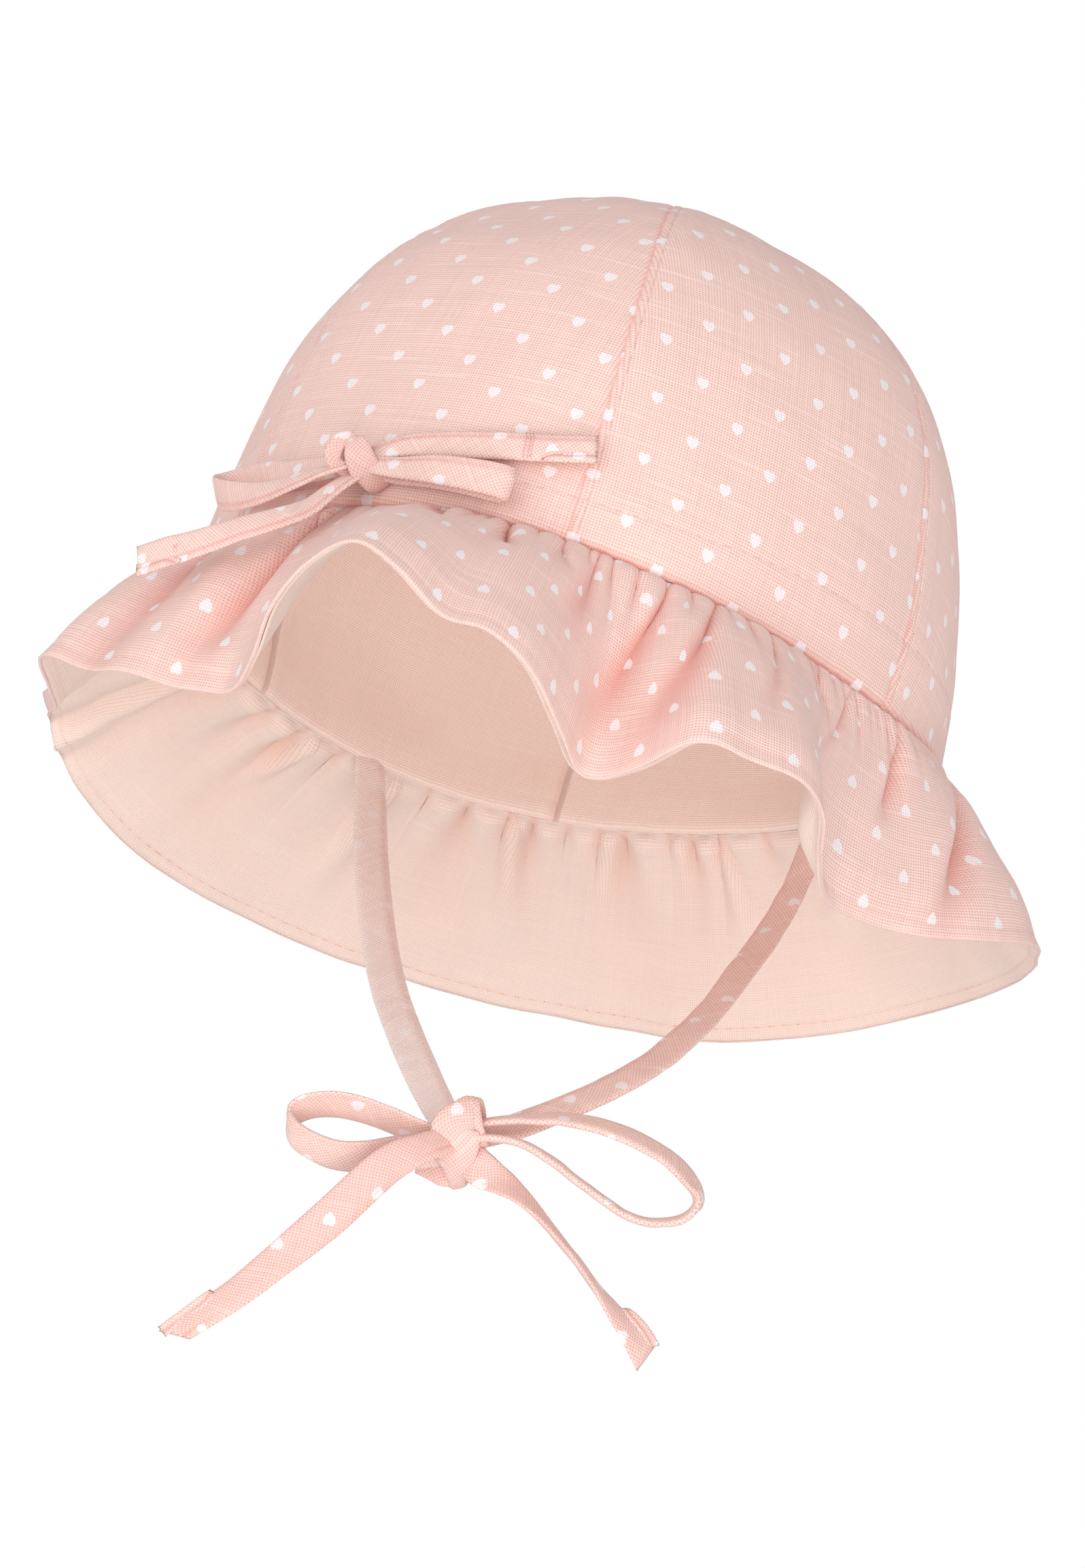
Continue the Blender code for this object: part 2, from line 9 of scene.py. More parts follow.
# %% Load the hat's solids
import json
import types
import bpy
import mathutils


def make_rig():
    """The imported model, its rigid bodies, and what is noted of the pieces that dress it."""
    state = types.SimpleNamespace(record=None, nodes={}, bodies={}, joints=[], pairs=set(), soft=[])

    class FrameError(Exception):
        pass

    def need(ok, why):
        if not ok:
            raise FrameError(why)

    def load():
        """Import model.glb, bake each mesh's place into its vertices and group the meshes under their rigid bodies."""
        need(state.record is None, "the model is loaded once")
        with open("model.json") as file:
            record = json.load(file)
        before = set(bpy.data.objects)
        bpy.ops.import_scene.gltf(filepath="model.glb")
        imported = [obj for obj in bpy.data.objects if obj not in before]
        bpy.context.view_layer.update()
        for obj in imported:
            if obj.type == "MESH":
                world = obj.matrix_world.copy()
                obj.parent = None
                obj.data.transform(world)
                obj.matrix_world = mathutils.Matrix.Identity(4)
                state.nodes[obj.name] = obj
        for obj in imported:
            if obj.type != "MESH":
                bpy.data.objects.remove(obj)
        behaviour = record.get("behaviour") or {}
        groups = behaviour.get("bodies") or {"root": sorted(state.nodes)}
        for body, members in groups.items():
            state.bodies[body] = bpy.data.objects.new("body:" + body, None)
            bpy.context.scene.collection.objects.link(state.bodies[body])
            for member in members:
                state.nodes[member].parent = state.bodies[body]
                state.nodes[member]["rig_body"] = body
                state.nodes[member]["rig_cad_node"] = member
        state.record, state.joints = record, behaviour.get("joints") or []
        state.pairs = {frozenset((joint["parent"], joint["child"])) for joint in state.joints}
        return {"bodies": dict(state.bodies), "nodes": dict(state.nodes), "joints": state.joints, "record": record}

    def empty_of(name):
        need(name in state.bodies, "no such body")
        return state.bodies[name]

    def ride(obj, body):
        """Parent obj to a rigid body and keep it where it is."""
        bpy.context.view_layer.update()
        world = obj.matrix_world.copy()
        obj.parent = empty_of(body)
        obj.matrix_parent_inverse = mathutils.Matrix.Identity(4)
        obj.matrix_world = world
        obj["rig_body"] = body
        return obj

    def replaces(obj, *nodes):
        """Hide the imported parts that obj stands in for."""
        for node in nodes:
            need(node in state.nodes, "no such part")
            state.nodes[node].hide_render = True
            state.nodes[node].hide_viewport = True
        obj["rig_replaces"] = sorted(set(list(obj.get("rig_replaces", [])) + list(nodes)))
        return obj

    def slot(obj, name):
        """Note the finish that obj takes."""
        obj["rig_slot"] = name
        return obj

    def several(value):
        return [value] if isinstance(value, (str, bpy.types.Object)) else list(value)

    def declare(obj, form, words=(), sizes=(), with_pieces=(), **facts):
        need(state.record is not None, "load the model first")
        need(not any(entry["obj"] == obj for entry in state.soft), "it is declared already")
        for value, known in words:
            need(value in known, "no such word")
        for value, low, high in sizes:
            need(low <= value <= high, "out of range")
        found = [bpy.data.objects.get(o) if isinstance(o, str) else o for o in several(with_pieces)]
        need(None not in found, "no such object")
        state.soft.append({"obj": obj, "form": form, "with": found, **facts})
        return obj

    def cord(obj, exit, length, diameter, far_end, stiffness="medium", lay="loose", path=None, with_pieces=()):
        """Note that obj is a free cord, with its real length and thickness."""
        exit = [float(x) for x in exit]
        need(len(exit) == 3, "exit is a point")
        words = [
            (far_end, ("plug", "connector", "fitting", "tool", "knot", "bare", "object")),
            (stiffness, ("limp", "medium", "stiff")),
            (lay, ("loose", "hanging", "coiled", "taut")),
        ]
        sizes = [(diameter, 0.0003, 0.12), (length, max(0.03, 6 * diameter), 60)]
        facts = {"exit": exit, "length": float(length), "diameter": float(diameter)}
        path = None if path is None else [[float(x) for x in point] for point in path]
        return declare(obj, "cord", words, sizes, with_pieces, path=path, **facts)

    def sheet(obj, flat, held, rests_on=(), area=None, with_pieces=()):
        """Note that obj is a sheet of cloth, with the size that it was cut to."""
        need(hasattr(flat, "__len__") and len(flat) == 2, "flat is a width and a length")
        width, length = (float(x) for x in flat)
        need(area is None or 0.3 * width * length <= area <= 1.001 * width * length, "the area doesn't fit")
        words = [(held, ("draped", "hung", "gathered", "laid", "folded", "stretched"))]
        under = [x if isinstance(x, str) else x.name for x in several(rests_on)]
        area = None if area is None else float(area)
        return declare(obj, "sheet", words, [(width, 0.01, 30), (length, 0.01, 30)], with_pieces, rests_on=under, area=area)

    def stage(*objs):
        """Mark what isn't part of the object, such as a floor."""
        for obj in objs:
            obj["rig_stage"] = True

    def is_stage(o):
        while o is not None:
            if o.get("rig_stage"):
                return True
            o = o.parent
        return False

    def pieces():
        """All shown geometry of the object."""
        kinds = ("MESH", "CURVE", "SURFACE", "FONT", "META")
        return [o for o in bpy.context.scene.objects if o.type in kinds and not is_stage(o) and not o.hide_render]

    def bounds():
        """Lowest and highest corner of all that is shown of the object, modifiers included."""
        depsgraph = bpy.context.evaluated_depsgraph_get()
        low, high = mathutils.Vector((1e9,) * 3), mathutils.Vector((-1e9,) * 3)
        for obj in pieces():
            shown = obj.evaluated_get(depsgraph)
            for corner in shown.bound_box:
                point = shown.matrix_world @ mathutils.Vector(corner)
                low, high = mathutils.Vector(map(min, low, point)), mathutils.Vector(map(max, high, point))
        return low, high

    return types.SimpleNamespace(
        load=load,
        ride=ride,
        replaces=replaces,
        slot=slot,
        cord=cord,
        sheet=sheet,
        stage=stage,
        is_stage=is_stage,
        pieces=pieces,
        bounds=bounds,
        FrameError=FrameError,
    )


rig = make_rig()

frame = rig.load()
cad_low, cad_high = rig.bounds()

import bisect
import json
import math
import random

import bmesh
import bpy
from mathutils import Matrix, Vector, noise

MM = 0.001
print("solids:", len(frame["nodes"]), "box in mm:", [round(v / MM) for v in cad_high - cad_low])

# %% [markdown]
# ## The camera
# The hat is seen from a little below its rim, so that the inside shows, and it leans to one side.
# A long lens from one and a half metres keeps the round crown from bulging. The tilt is given to
# the camera and not to the hat, because the hat has to stay where its frame is.

# %% Aim the camera
AZIMUTH, ELEVATION, ROLL = (math.radians(angle) for angle in (4.5, -20.3, 14.9))
DISTANCE = 1.5
SENSOR_WIDTH, FOCAL_LENGTH = 36.0, 171.9
SHIFT_X, SHIFT_Y = -0.0114, -0.0642

away = Vector((
    math.sin(AZIMUTH) * math.cos(ELEVATION),
    -math.cos(AZIMUTH) * math.cos(ELEVATION),
    math.sin(ELEVATION),
))
level = Vector((math.cos(AZIMUTH), math.sin(AZIMUTH), 0.0))
upright = away.cross(level)
right = level * math.cos(ROLL) + upright * math.sin(ROLL)
top = upright * math.cos(ROLL) - level * math.sin(ROLL)

camera = bpy.data.objects.new("camera", bpy.data.cameras.new("camera"))
bpy.context.scene.collection.objects.link(camera)
bpy.context.scene.camera = camera
camera.data.sensor_width = SENSOR_WIDTH
camera.data.lens = FOCAL_LENGTH
camera.data.shift_x = SHIFT_X
camera.data.shift_y = SHIFT_Y
turned = Matrix((right, top, away)).transposed().to_4x4()
camera.matrix_world = Matrix.Translation(away * DISTANCE) @ turned
print("camera at", [round(v, 3) for v in camera.location])

# %% [markdown]
# ## Reading a table of sections as one smooth curve
# Cloth has no corners along its length, so a few rows of numbers are enough for a strap or a
# profile, if a smooth curve runs through them. This is a Hermite curve whose slope at each row
# comes from the rows on both sides of it. Angles round the hat are in degrees: 0 is the front and
# 90 the right.

# %% Smooth reading of a table
def smooth_value(rows, column, at):
    """A column of the table where its first column would be at."""
    last = len(rows) - 1
    place = next((i for i in range(1, last) if rows[i][0] > at), last)
    low, high = rows[place - 1], rows[place]
    before = rows[max(place - 2, 0)]
    after = rows[min(place + 1, last)]
    width = high[0] - low[0]
    share = (at - low[0]) / width
    slope_low = (high[column] - before[column]) / (high[0] - before[0])
    slope_high = (after[column] - low[column]) / (after[0] - low[0])
    a = low[column] * (1 + 2 * share) * (1 - share) ** 2
    b = high[column] * (3 - 2 * share) * share**2
    c = slope_low * width * share * (1 - share) ** 2
    d = slope_high * width * share**2 * (share - 1)
    return a + b + c + d


def smooth_path(points, parameters, at):
    rows = [(p, *point) for p, point in zip(parameters, points)]
    return Vector([smooth_value(rows, column, at) for column in range(1, len(rows[0]))])


def lengths_along(points):
    lengths = [0.0]
    for here, there in zip(points, points[1:]):
        lengths.append(lengths[-1] + (there - here).length)
    return lengths


def spot_on(lengths, distance):
    """Where a distance falls on a run of lengths: the index after it, and the share up to it."""
    place = min(max(bisect.bisect(lengths, distance), 1), len(lengths) - 1)
    return place, (distance - lengths[place - 1]) / (lengths[place] - lengths[place - 1])


def half_turned(angle):
    """The same angle, between -180 and 180."""
    return (angle + 180.0) % 360.0 - 180.0


def fade(value, low, high):
    """0 below low, 1 above high, and a soft ramp between."""
    share = min(max((value - low) / (high - low), 0.0), 1.0)
    return share * share * (3.0 - 2.0 * share)


def bell(distance, width):
    return math.exp(-((distance / width) ** 2))

# %% [markdown]
# ## A piece of cloth
# Every cloth piece starts as a flat grid from `create_grid`. A function then says where each
# corner of the grid lies on the hat, and how deep in a fold it is, which the finish paints as
# shade. Another says where it was on the flat cloth before sewing: that goes into the UV map in
# millimetres, so the weave and the printed hearts follow the threads and never stretch over a fold.

# %% Lay out a grid of cloth
WELD = 0.002


def hat_piece(name, shape):
    """Ends a bmesh as one piece of the hat."""
    mesh = bpy.data.meshes.new(name)
    shape.to_mesh(mesh)
    shape.free()
    piece = bpy.data.objects.new(name, mesh)
    bpy.context.scene.collection.objects.link(piece)
    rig.ride(piece, "root")
    return piece


def cloth_piece(name, columns, rows, place, flat, closed=False, tube=False):
    """closed joins the first column to the last, and a tube is closed all round."""
    shape = bmesh.new()
    bmesh.ops.create_grid(shape, x_segments=columns, y_segments=rows, size=0.5)
    # A mask of painted shade: the finish mixes a deeper pink into the cloth where this is high.
    depth = shape.verts.layers.float.new("fold")
    spots = {}
    for corner in shape.verts:
        column = round((corner.co.x + 0.5) * columns)
        row = round((corner.co.y + 0.5) * rows)
        spots[corner] = (column, row)
        point, corner[depth] = place(column, row)
        corner.co = point * MM
    weave = shape.loops.layers.uv.new("weave")
    for face in shape.faces:
        face.smooth = True
        for loop in face.loops:
            loop[weave].uv = flat(*spots[loop.vert])
    if closed:
        bmesh.ops.remove_doubles(shape, verts=shape.verts, dist=WELD * MM)
    if tube:
        bmesh.ops.recalc_face_normals(shape, faces=shape.faces)
    return hat_piece(name, shape)


def give_wall(piece, inner, outer):
    """Thickens a sheet so that it reaches from inner to outer millimetres off its surface."""
    wall = piece.modifiers.new("wall", "SOLIDIFY")
    wall.thickness = (outer - inner) * MM
    wall.offset = (outer + inner) / (outer - inner)
    wall.use_even_offset = False
    return piece

# %% [markdown]
# ## The straps
# The bow and the ties are one kind of strap: a strip of the printed cloth, folded twice and
# stitched along one edge. A row of a table gives a section's middle, the turn of its width, its
# lean and its width. The ties come first, because they hang freely: they are declared as cords
# with their real length.

# %% Sections of a strap
FINE_STEPS = 20
CORD_STEP = 3.0


def strap_route(rows):
    """Turns a table into a list of middles and a list of width vectors."""
    widths = []
    for row in rows:
        slant, lean = math.radians(row[3]), math.radians(row[4])
        spread = math.cos(lean)
        across = Vector((spread * math.cos(slant), -math.sin(lean), spread * math.sin(slant)))
        widths.append(across * row[5])
    return [Vector(row[:3]) for row in rows], widths


def strap_sections(route, spacing):
    """Sections at an even spacing: distance, middle, width's direction, width, way it faces."""
    centres, widths = route
    steps = range(len(centres))
    last = len(centres) - 1
    fine = [i / FINE_STEPS for i in range(FINE_STEPS * last + 1)]
    run = lengths_along([smooth_path(centres, steps, at) for at in fine])
    count = round(run[-1] / spacing)
    sections = []
    for number in range(count + 1):
        distance = run[-1] * number / count
        place, share = spot_on(run, distance)
        at = fine[place - 1] + (fine[place] - fine[place - 1]) * share
        ahead = smooth_path(centres, steps, min(at + 1 / FINE_STEPS, last))
        behind = smooth_path(centres, steps, max(at - 1 / FINE_STEPS, 0.0))
        line = (ahead - behind).normalized()
        width = smooth_path(widths, steps, at)
        across = (width - line * width.dot(line)).normalized()
        middle = smooth_path(centres, steps, at)
        sections.append((distance, middle, across, width.length, line.cross(across)))
    return sections


def middle_line(route):
    """The middle line of a strap in metres, close enough together for its length."""
    return [section[1] * MM for section in strap_sections(route, CORD_STEP)]

# %% Routes of the chin ties
TIE_LEFT = strap_route((
    # x, y, z, slant, lean, width
    (-39.9, 61.3, -2.3, 5.0, -33.0, 6.8),
    (-38.5, 59.0, -6.0, 7.0, -30.0, 7.1),
    (-36.2, 55.0, -14.5, 10.0, -24.0, 7.2),
    (-32.4, 46.0, -28.4, 20.0, -14.0, 7.2),
    (-27.8, 35.0, -42.6, 32.0, -14.0, 7.2),
    (-24.0, 26.0, -53.2, 38.0, -14.0, 7.2),
    (-18.7, 13.0, -66.2, 42.0, -15.0, 7.2),
    (-12.5, 0.0, -78.3, 45.0, -17.0, 7.2),
    (-5.7, -13.0, -90.0, 50.0, -20.0, 7.2),
    (0.4, -22.0, -99.4, 56.0, -23.0, 6.8),
    (5.0, -27.4, -105.4, 58.0, -22.0, 5.6),
))
TIE_RIGHT = strap_route((
    (55.1, 47.2, 1.6, -10.0, 47.0, 7.0),
    (54.8, 43.5, -8.0, -24.0, 47.0, 7.2),
    (53.8, 38.8, -18.0, -30.0, 47.0, 7.2),
    (51.4, 30.5, -30.7, -34.0, 46.0, 7.2),
    (48.6, 20.0, -42.9, -38.0, 47.0, 7.2),
    (45.7, 9.0, -55.0, -43.0, 48.0, 7.2),
    (42.3, -0.6, -65.5, -49.0, 46.0, 7.2),
    (36.6, -11.4, -77.6, -54.0, 43.0, 7.2),
    (28.4, -19.0, -88.2, -57.0, 38.0, 7.2),
    (17.6, -22.6, -97.6, -60.0, 30.0, 7.0),
    (12.0, -24.0, -101.6, -61.0, 28.0, 6.4),
    (7.2, -26.4, -105.2, -62.0, 26.0, 5.2),
))
TIE_LOOP_LEFT = strap_route((
    (6.0, -28.8, -108.0, -110.0, -60.0, 4.6),
    (1.0, -29.4, -107.4, -110.0, -62.0, 6.6),
    (-7.0, -31.0, -106.4, -112.0, -64.0, 7.0),
    (-13.3, -32.0, -106.0, -108.0, -66.0, 7.2),
    (-19.4, -32.6, -106.5, -100.0, -64.0, 7.2),
    (-24.2, -33.0, -108.6, -88.0, -60.0, 7.0),
    (-26.0, -33.2, -111.6, -80.0, -56.0, 6.8),
    (-23.6, -33.8, -114.8, -84.0, -58.0, 7.0),
    (-16.8, -34.2, -116.6, -88.0, -56.0, 7.2),
    (-10.3, -33.6, -115.4, -86.0, -46.0, 7.2),
    (-4.4, -32.2, -112.8, -78.0, -28.0, 7.0),
    (0.4, -31.0, -110.8, -72.0, -20.0, 6.6),
    (5.6, -29.2, -109.4, -70.0, -20.0, 4.6),
))
TIE_LOOP_RIGHT = strap_route((
    (7.4, -29.2, -103.4, -78.0, 69.0, 5.0),
    (12.2, -30.2, -101.4, -78.0, 66.0, 6.4),
    (21.6, -30.0, -98.3, -78.0, 60.0, 7.2),
    (28.0, -30.0, -97.3, -82.0, 54.0, 7.2),
    (35.2, -30.5, -97.7, -85.0, 50.0, 7.2),
    (42.8, -31.0, -99.5, -88.0, 50.0, 7.2),
    (48.3, -32.0, -102.3, -92.0, 52.0, 7.2),
    (52.4, -33.0, -106.0, -93.0, 56.0, 7.2),
    (53.4, -34.0, -109.6, -92.0, 60.0, 7.2),
    (51.0, -34.6, -113.2, -86.0, 65.0, 7.2),
    (45.4, -35.0, -115.2, -80.0, 68.0, 7.2),
    (39.8, -35.0, -114.6, -78.0, 68.0, 7.2),
    (32.2, -34.5, -111.3, -77.0, 68.0, 7.2),
    (24.4, -33.6, -107.4, -76.0, 68.0, 7.2),
    (18.4, -32.8, -105.4, -77.0, 70.0, 7.0),
    (12.2, -32.0, -105.4, -79.0, 73.0, 6.4),
    (7.2, -30.2, -106.6, -79.0, 73.0, 5.0),
))
TIE_TAIL_LEFT = strap_route((
    (5.6, -31.6, -107.0, -50.0, 10.0, 5.0),
    (1.0, -36.0, -111.2, -44.0, 4.0, 6.2),
    (-5.2, -39.4, -117.8, -38.0, -12.0, 7.2),
    (-13.3, -40.4, -131.0, -38.0, -14.0, 7.4),
    (-20.5, -40.5, -141.3, -43.0, 12.0, 7.2),
    (-26.0, -40.0, -148.7, -45.0, 20.0, 7.0),
    (-31.0, -39.0, -154.2, -46.0, 20.0, 6.4),
    (-35.9, -38.0, -159.6, -50.0, 20.0, 5.6),
))
TIE_TAIL_RIGHT = strap_route((
    (7.6, -30.0, -108.4, -115.0, -10.0, 5.6),
    (12.0, -31.6, -112.0, -113.0, -8.0, 7.0),
    (16.4, -32.4, -113.8, -103.0, 30.0, 7.0),
    (22.0, -33.6, -116.9, -96.0, 56.0, 6.8),
    (28.2, -35.0, -121.4, -84.0, 68.0, 6.6),
    (33.8, -36.0, -126.0, -80.0, 69.0, 6.6),
    (38.9, -36.6, -130.6, -84.0, 66.0, 6.8),
    (43.4, -36.6, -134.4, -97.0, 53.0, 7.0),
    (47.6, -36.2, -137.6, -110.0, 38.0, 7.2),
    (51.4, -35.6, -141.6, -116.0, 30.0, 7.2),
))

# %% [markdown]
# The strap itself is a closed tube with a flat section. Its two faces swell a little between the
# edges, the stitched edge is pressed down along its seam line, and soft uneven wrinkles run
# across it, as bias-cut cloth makes them. Its threads run at an angle to it for the same reason.
# The seam line is painted a deeper pink as painted shade, and some tails and the knots are given an even painted shade
# all over.

# %% Make a strap
TIE_THICK, BOW_THICK = 1.6, 1.4
STRAP_GRAIN = math.radians(36.0)
STRAP_STEP, FACE_COLUMNS = 0.8, 12
STITCH_INSET, SEAM_DIP, EDGE_DIP = 1.1, 0.26, 0.12
WAVE_HEIGHT, WRINKLE_HEIGHT = 0.22, 0.16
END_ROUNDING, SLANTED_LENGTH = 0.9, 7.0


def strap_height(aside, width, thickness, stitched_side):
    """How far the face lies off the strap's middle surface, and how deep in its seam, for painted shade."""
    height = max(1.0 - abs(2 * aside / width) ** 5, 0.0) ** 0.5 * thickness / 2
    inset = width / 2 - aside * stitched_side
    if not stitched_side:
        return height, 0.0
    height -= SEAM_DIP * bell(inset - STITCH_INSET, 0.35)
    height -= EDGE_DIP * fade(STITCH_INSET - inset, -0.2, 0.3)
    return height, 0.8 * bell(inset - STITCH_INSET, 0.3)


def strap_lift(distance, aside, seed):
    """The soft wrinkles, which move both faces together."""
    wrinkle = noise.noise(Vector((distance / 4.5, aside / 6.0, seed)))
    wave = noise.noise(Vector((distance / 11.0, aside / 14.0, seed + 7.3)))
    return WAVE_HEIGHT * wave + WRINKLE_HEIGHT * wrinkle


def around_strap(column, width):
    """Place across the strap and side of it, for a column of the tube."""
    column %= 2 * FACE_COLUMNS
    face = 1 if column < FACE_COLUMNS else -1
    share = (column % FACE_COLUMNS) / FACE_COLUMNS
    across = -math.cos(math.pi * share) * face
    across = across * (0.72 + 0.28 * abs(across) ** 3)
    return across * width / 2, face


def strap_piece(name, route, thickness, stitched_side, seed, slant=0.0, painted_shade=0.0):
    """stitched_side is 1 or -1 for the edge with the seam, and slant how far the end is cut off."""
    sections = strap_sections(route, STRAP_STEP)
    length = sections[-1][0]

    def place(column, row):
        distance, middle, across, width, facing = sections[row]
        aside, face = around_strap(column, width)
        height, fold = strap_height(aside, width, thickness, stitched_side)
        end = min(distance, length - distance)
        closing = math.sqrt(1.0 - (1.0 - min(end / END_ROUNDING, 1.0)) ** 2)
        lift = strap_lift(distance, aside, seed)
        spot = middle + across * aside + facing * (max(height, 0.0) * face * closing + lift)
        late = across.cross(facing) * slant * aside / width
        # The second value is painted shade: the seam's groove, or an even shade over the whole strap.
        return spot + late * fade(distance, length - SLANTED_LENGTH, length), max(fold, painted_shade)

    def flat(column, row):
        distance, _, _, width, _ = sections[row]
        aside, face = around_strap(column, width)
        side = aside if face > 0 else width - aside
        return (
            side * math.cos(STRAP_GRAIN) - distance * math.sin(STRAP_GRAIN) + 37.0 * seed,
            side * math.sin(STRAP_GRAIN) + distance * math.cos(STRAP_GRAIN) + 23.0 * seed,
        )

    columns, rows = 2 * FACE_COLUMNS, len(sections) - 1
    return cloth_piece(name, columns, rows, place, flat, closed=True, tube=True)

# %% The turned-in end of a tail
FLAP_LENGTH, FLAP_WIDTH, FLAP_THICK = 12.0, 2.6, 1.0
FLAP_STEP, FLAP_OPENING = 1.5, 4.0


def join_pieces(name, pieces):
    """One piece from several, which are removed."""
    shape = bmesh.new()
    for part in pieces:
        shape.from_mesh(part.data)
        bpy.data.objects.remove(part)
    return hat_piece(name, shape)


def side_seen(facing):
    """Which face of a strap is seen: 1 for the one that faces along facing, or -1."""
    return 1.0 if facing.dot(away) > 0.0 else -1.0


def tail_piece(name, route, thickness, stitched_side, seed, flap_edge, slant, painted_shade=0.0):
    """A strap whose end is tucked in: the tuck stands open along one edge, as a narrow lip."""
    strap = strap_piece(name + "_strap", route, thickness, stitched_side, seed, slant, painted_shade)
    sections = strap_sections(route, FLAP_STEP)
    length = sections[-1][0]
    start = length - FLAP_LENGTH
    middles, widths = [], []
    for distance, middle, across, width, facing in sections:
        if distance > start:
            side = side_seen(facing)
            opened = 0.35 + 0.65 * fade(distance - start, 0.0, FLAP_OPENING)
            edge = across * flap_edge * (width / 2 - 0.5 * FLAP_WIDTH * opened + 0.3)
            late = across.cross(facing) * slant * flap_edge * 0.4
            late = late * fade(distance, length - SLANTED_LENGTH, length)
            middles.append(middle + edge + facing * side * 0.42 * thickness + late)
            widths.append((across * FLAP_WIDTH + facing * side * 0.5 * flap_edge) * opened)
    lip = strap_piece(name + "_lip", (middles, widths), FLAP_THICK, -flap_edge, seed + 0.5)
    return join_pieces(name, (strap, lip))

# %% The chin ties
CHIN_STRAPS = (
    # piece, its route, stitched edge, seed
    ("left_chin_tie", TIE_LEFT, 1, 1.1),
    ("right_chin_tie", TIE_RIGHT, -1, 2.3),
    ("left_chin_loop", TIE_LOOP_LEFT, -1, 3.2),
    ("right_chin_loop", TIE_LOOP_RIGHT, -1, 4.6),
    # and for a tail: edge of its tuck, slant of its end, painted shade
    ("left_chin_tail", TIE_TAIL_LEFT, 1, 5.4, -1, -4.0, 0.22),
    ("right_chin_tail", TIE_TAIL_RIGHT, 1, 6.5, -1, 3.0, 0.15),
)


def make_straps(rows, thickness):
    straps = []
    for name, route, stitched_side, seed, *tuck in rows:
        make = tail_piece if tuck else strap_piece
        straps.append(make(name, route, thickness, stitched_side, seed, *tuck))
    return straps


chin_straps = make_straps(CHIN_STRAPS, TIE_THICK)
for name, route, *_ in CHIN_STRAPS:
    print(name, "is", round(lengths_along(middle_line(route))[-1] / MM), "mm long")

# %% [markdown]
# ## The crown
# Six gores of cloth meet along seams that run from the rim to the top. The shape is a profile
# turned round the axis, a little longer from front left to back right, with a few soft dents
# where the cloth isn't filled by a head. Real cloth shows its sewing: it dips at each seam, lies
# higher where the seam allowance is pressed to one side, and puckers next to a line of stitches.
# All of that is added as relief, which is a small distance along the cloth's own normal.

# %% Shape of the crown
CROWN_PROFILE = (
    # height, radius
    (0.0, 74.6),
    (12.0, 75.2),
    (28.0, 73.6),
    (45.0, 70.2),
    (60.0, 65.0),
    (74.0, 56.8),
    (86.0, 43.6),
    (94.2, 25.5),
    (97.2, 0.0),
)
CROWN_DENTS = (
    # angle, height, half width round, half height, depth
    (-38.0, 78.0, 22.0, 9.0, 1.2),
    (32.0, 74.0, 18.0, 12.0, 0.9),
    (95.0, 52.0, 16.0, 22.0, 1.0),
)
PANELS = 6
PANEL_ANGLE = 360.0 / PANELS
PANEL_RIDGE = 0.010
CROWN_LEAN = 1.0
RIM_TWIST, RIM_WAVE, RIM_OVAL = 2.7, 1.0, 0.020
# The rim is pushed out on the right, where the ruffle pulls at it.
SWELL, SWELL_ANGLE, SWELL_HALF, SWELL_TALL = 2.2, 92.0, 34.0, 12.0

profile_points = [Vector(row) for row in CROWN_PROFILE]
profile_lengths = lengths_along(profile_points)
CROWN_HEIGHT = CROWN_PROFILE[-1][0]
CLOTH_LENGTH = profile_lengths[-1]
LOWEST = -4.0
profile_memory = {}


def profile(along):
    """Height and radius of the crown at a distance up its cloth."""
    along = round(min(max(along, LOWEST), CLOTH_LENGTH), 3)
    if along not in profile_memory:
        profile_memory[along] = smooth_path(profile_points, profile_lengths, along)
    return profile_memory[along]


def outward(angle):
    """The level direction away from the hat's axis."""
    turn = math.radians(angle)
    return Vector((math.sin(turn), -math.cos(turn), 0.0))


def rim_height(angle):
    turn = math.radians(angle)
    return RIM_WAVE * math.cos(3 * turn) - RIM_TWIST * math.sin(2 * turn)


def dent_depth(angle, height):
    depth = 0.0
    for centre, level_of, half_round, half_tall, deep in CROWN_DENTS:
        sideways = half_turned(angle - centre) / half_round
        upward = (height - level_of) / half_tall
        depth += deep * math.exp(-(sideways**2) - upward**2)
    return depth


def rim_swell(angle):
    return SWELL * bell(half_turned(angle - SWELL_ANGLE), SWELL_HALF)


def crown_point(angle, along, relief):
    """A point of the crown's cloth, relief millimetres out along its normal."""
    height, radius = profile(along)
    radius += rim_swell(angle) * math.exp(-height / SWELL_TALL)
    turn = math.radians(angle)
    low = (1.0 - height / CROWN_HEIGHT) ** 2
    radius *= 1.0 - RIM_OVAL * low * math.sin(2 * turn)
    radius *= 1.0 + PANEL_RIDGE * (1.0 - low) * math.cos(PANELS * turn)
    inward = min(dent_depth(angle, height), radius)
    lean = CROWN_LEAN * math.sin(math.pi * height / CROWN_HEIGHT)
    middle = Vector((lean, 0.0, height + low * rim_height(angle)))
    point = middle + outward(angle) * radius
    point -= (outward(angle) * 0.6 + Vector((0.0, 0.0, 0.8))) * inward
    rise = profile(along + 1.5) - profile(along - 1.5)
    normal = (outward(angle) * rise[0] + Vector((0.0, 0.0, -rise[1]))).normalized()
    return point + normal * relief


print("crown cloth runs", round(CLOTH_LENGTH), "mm from rim to top")
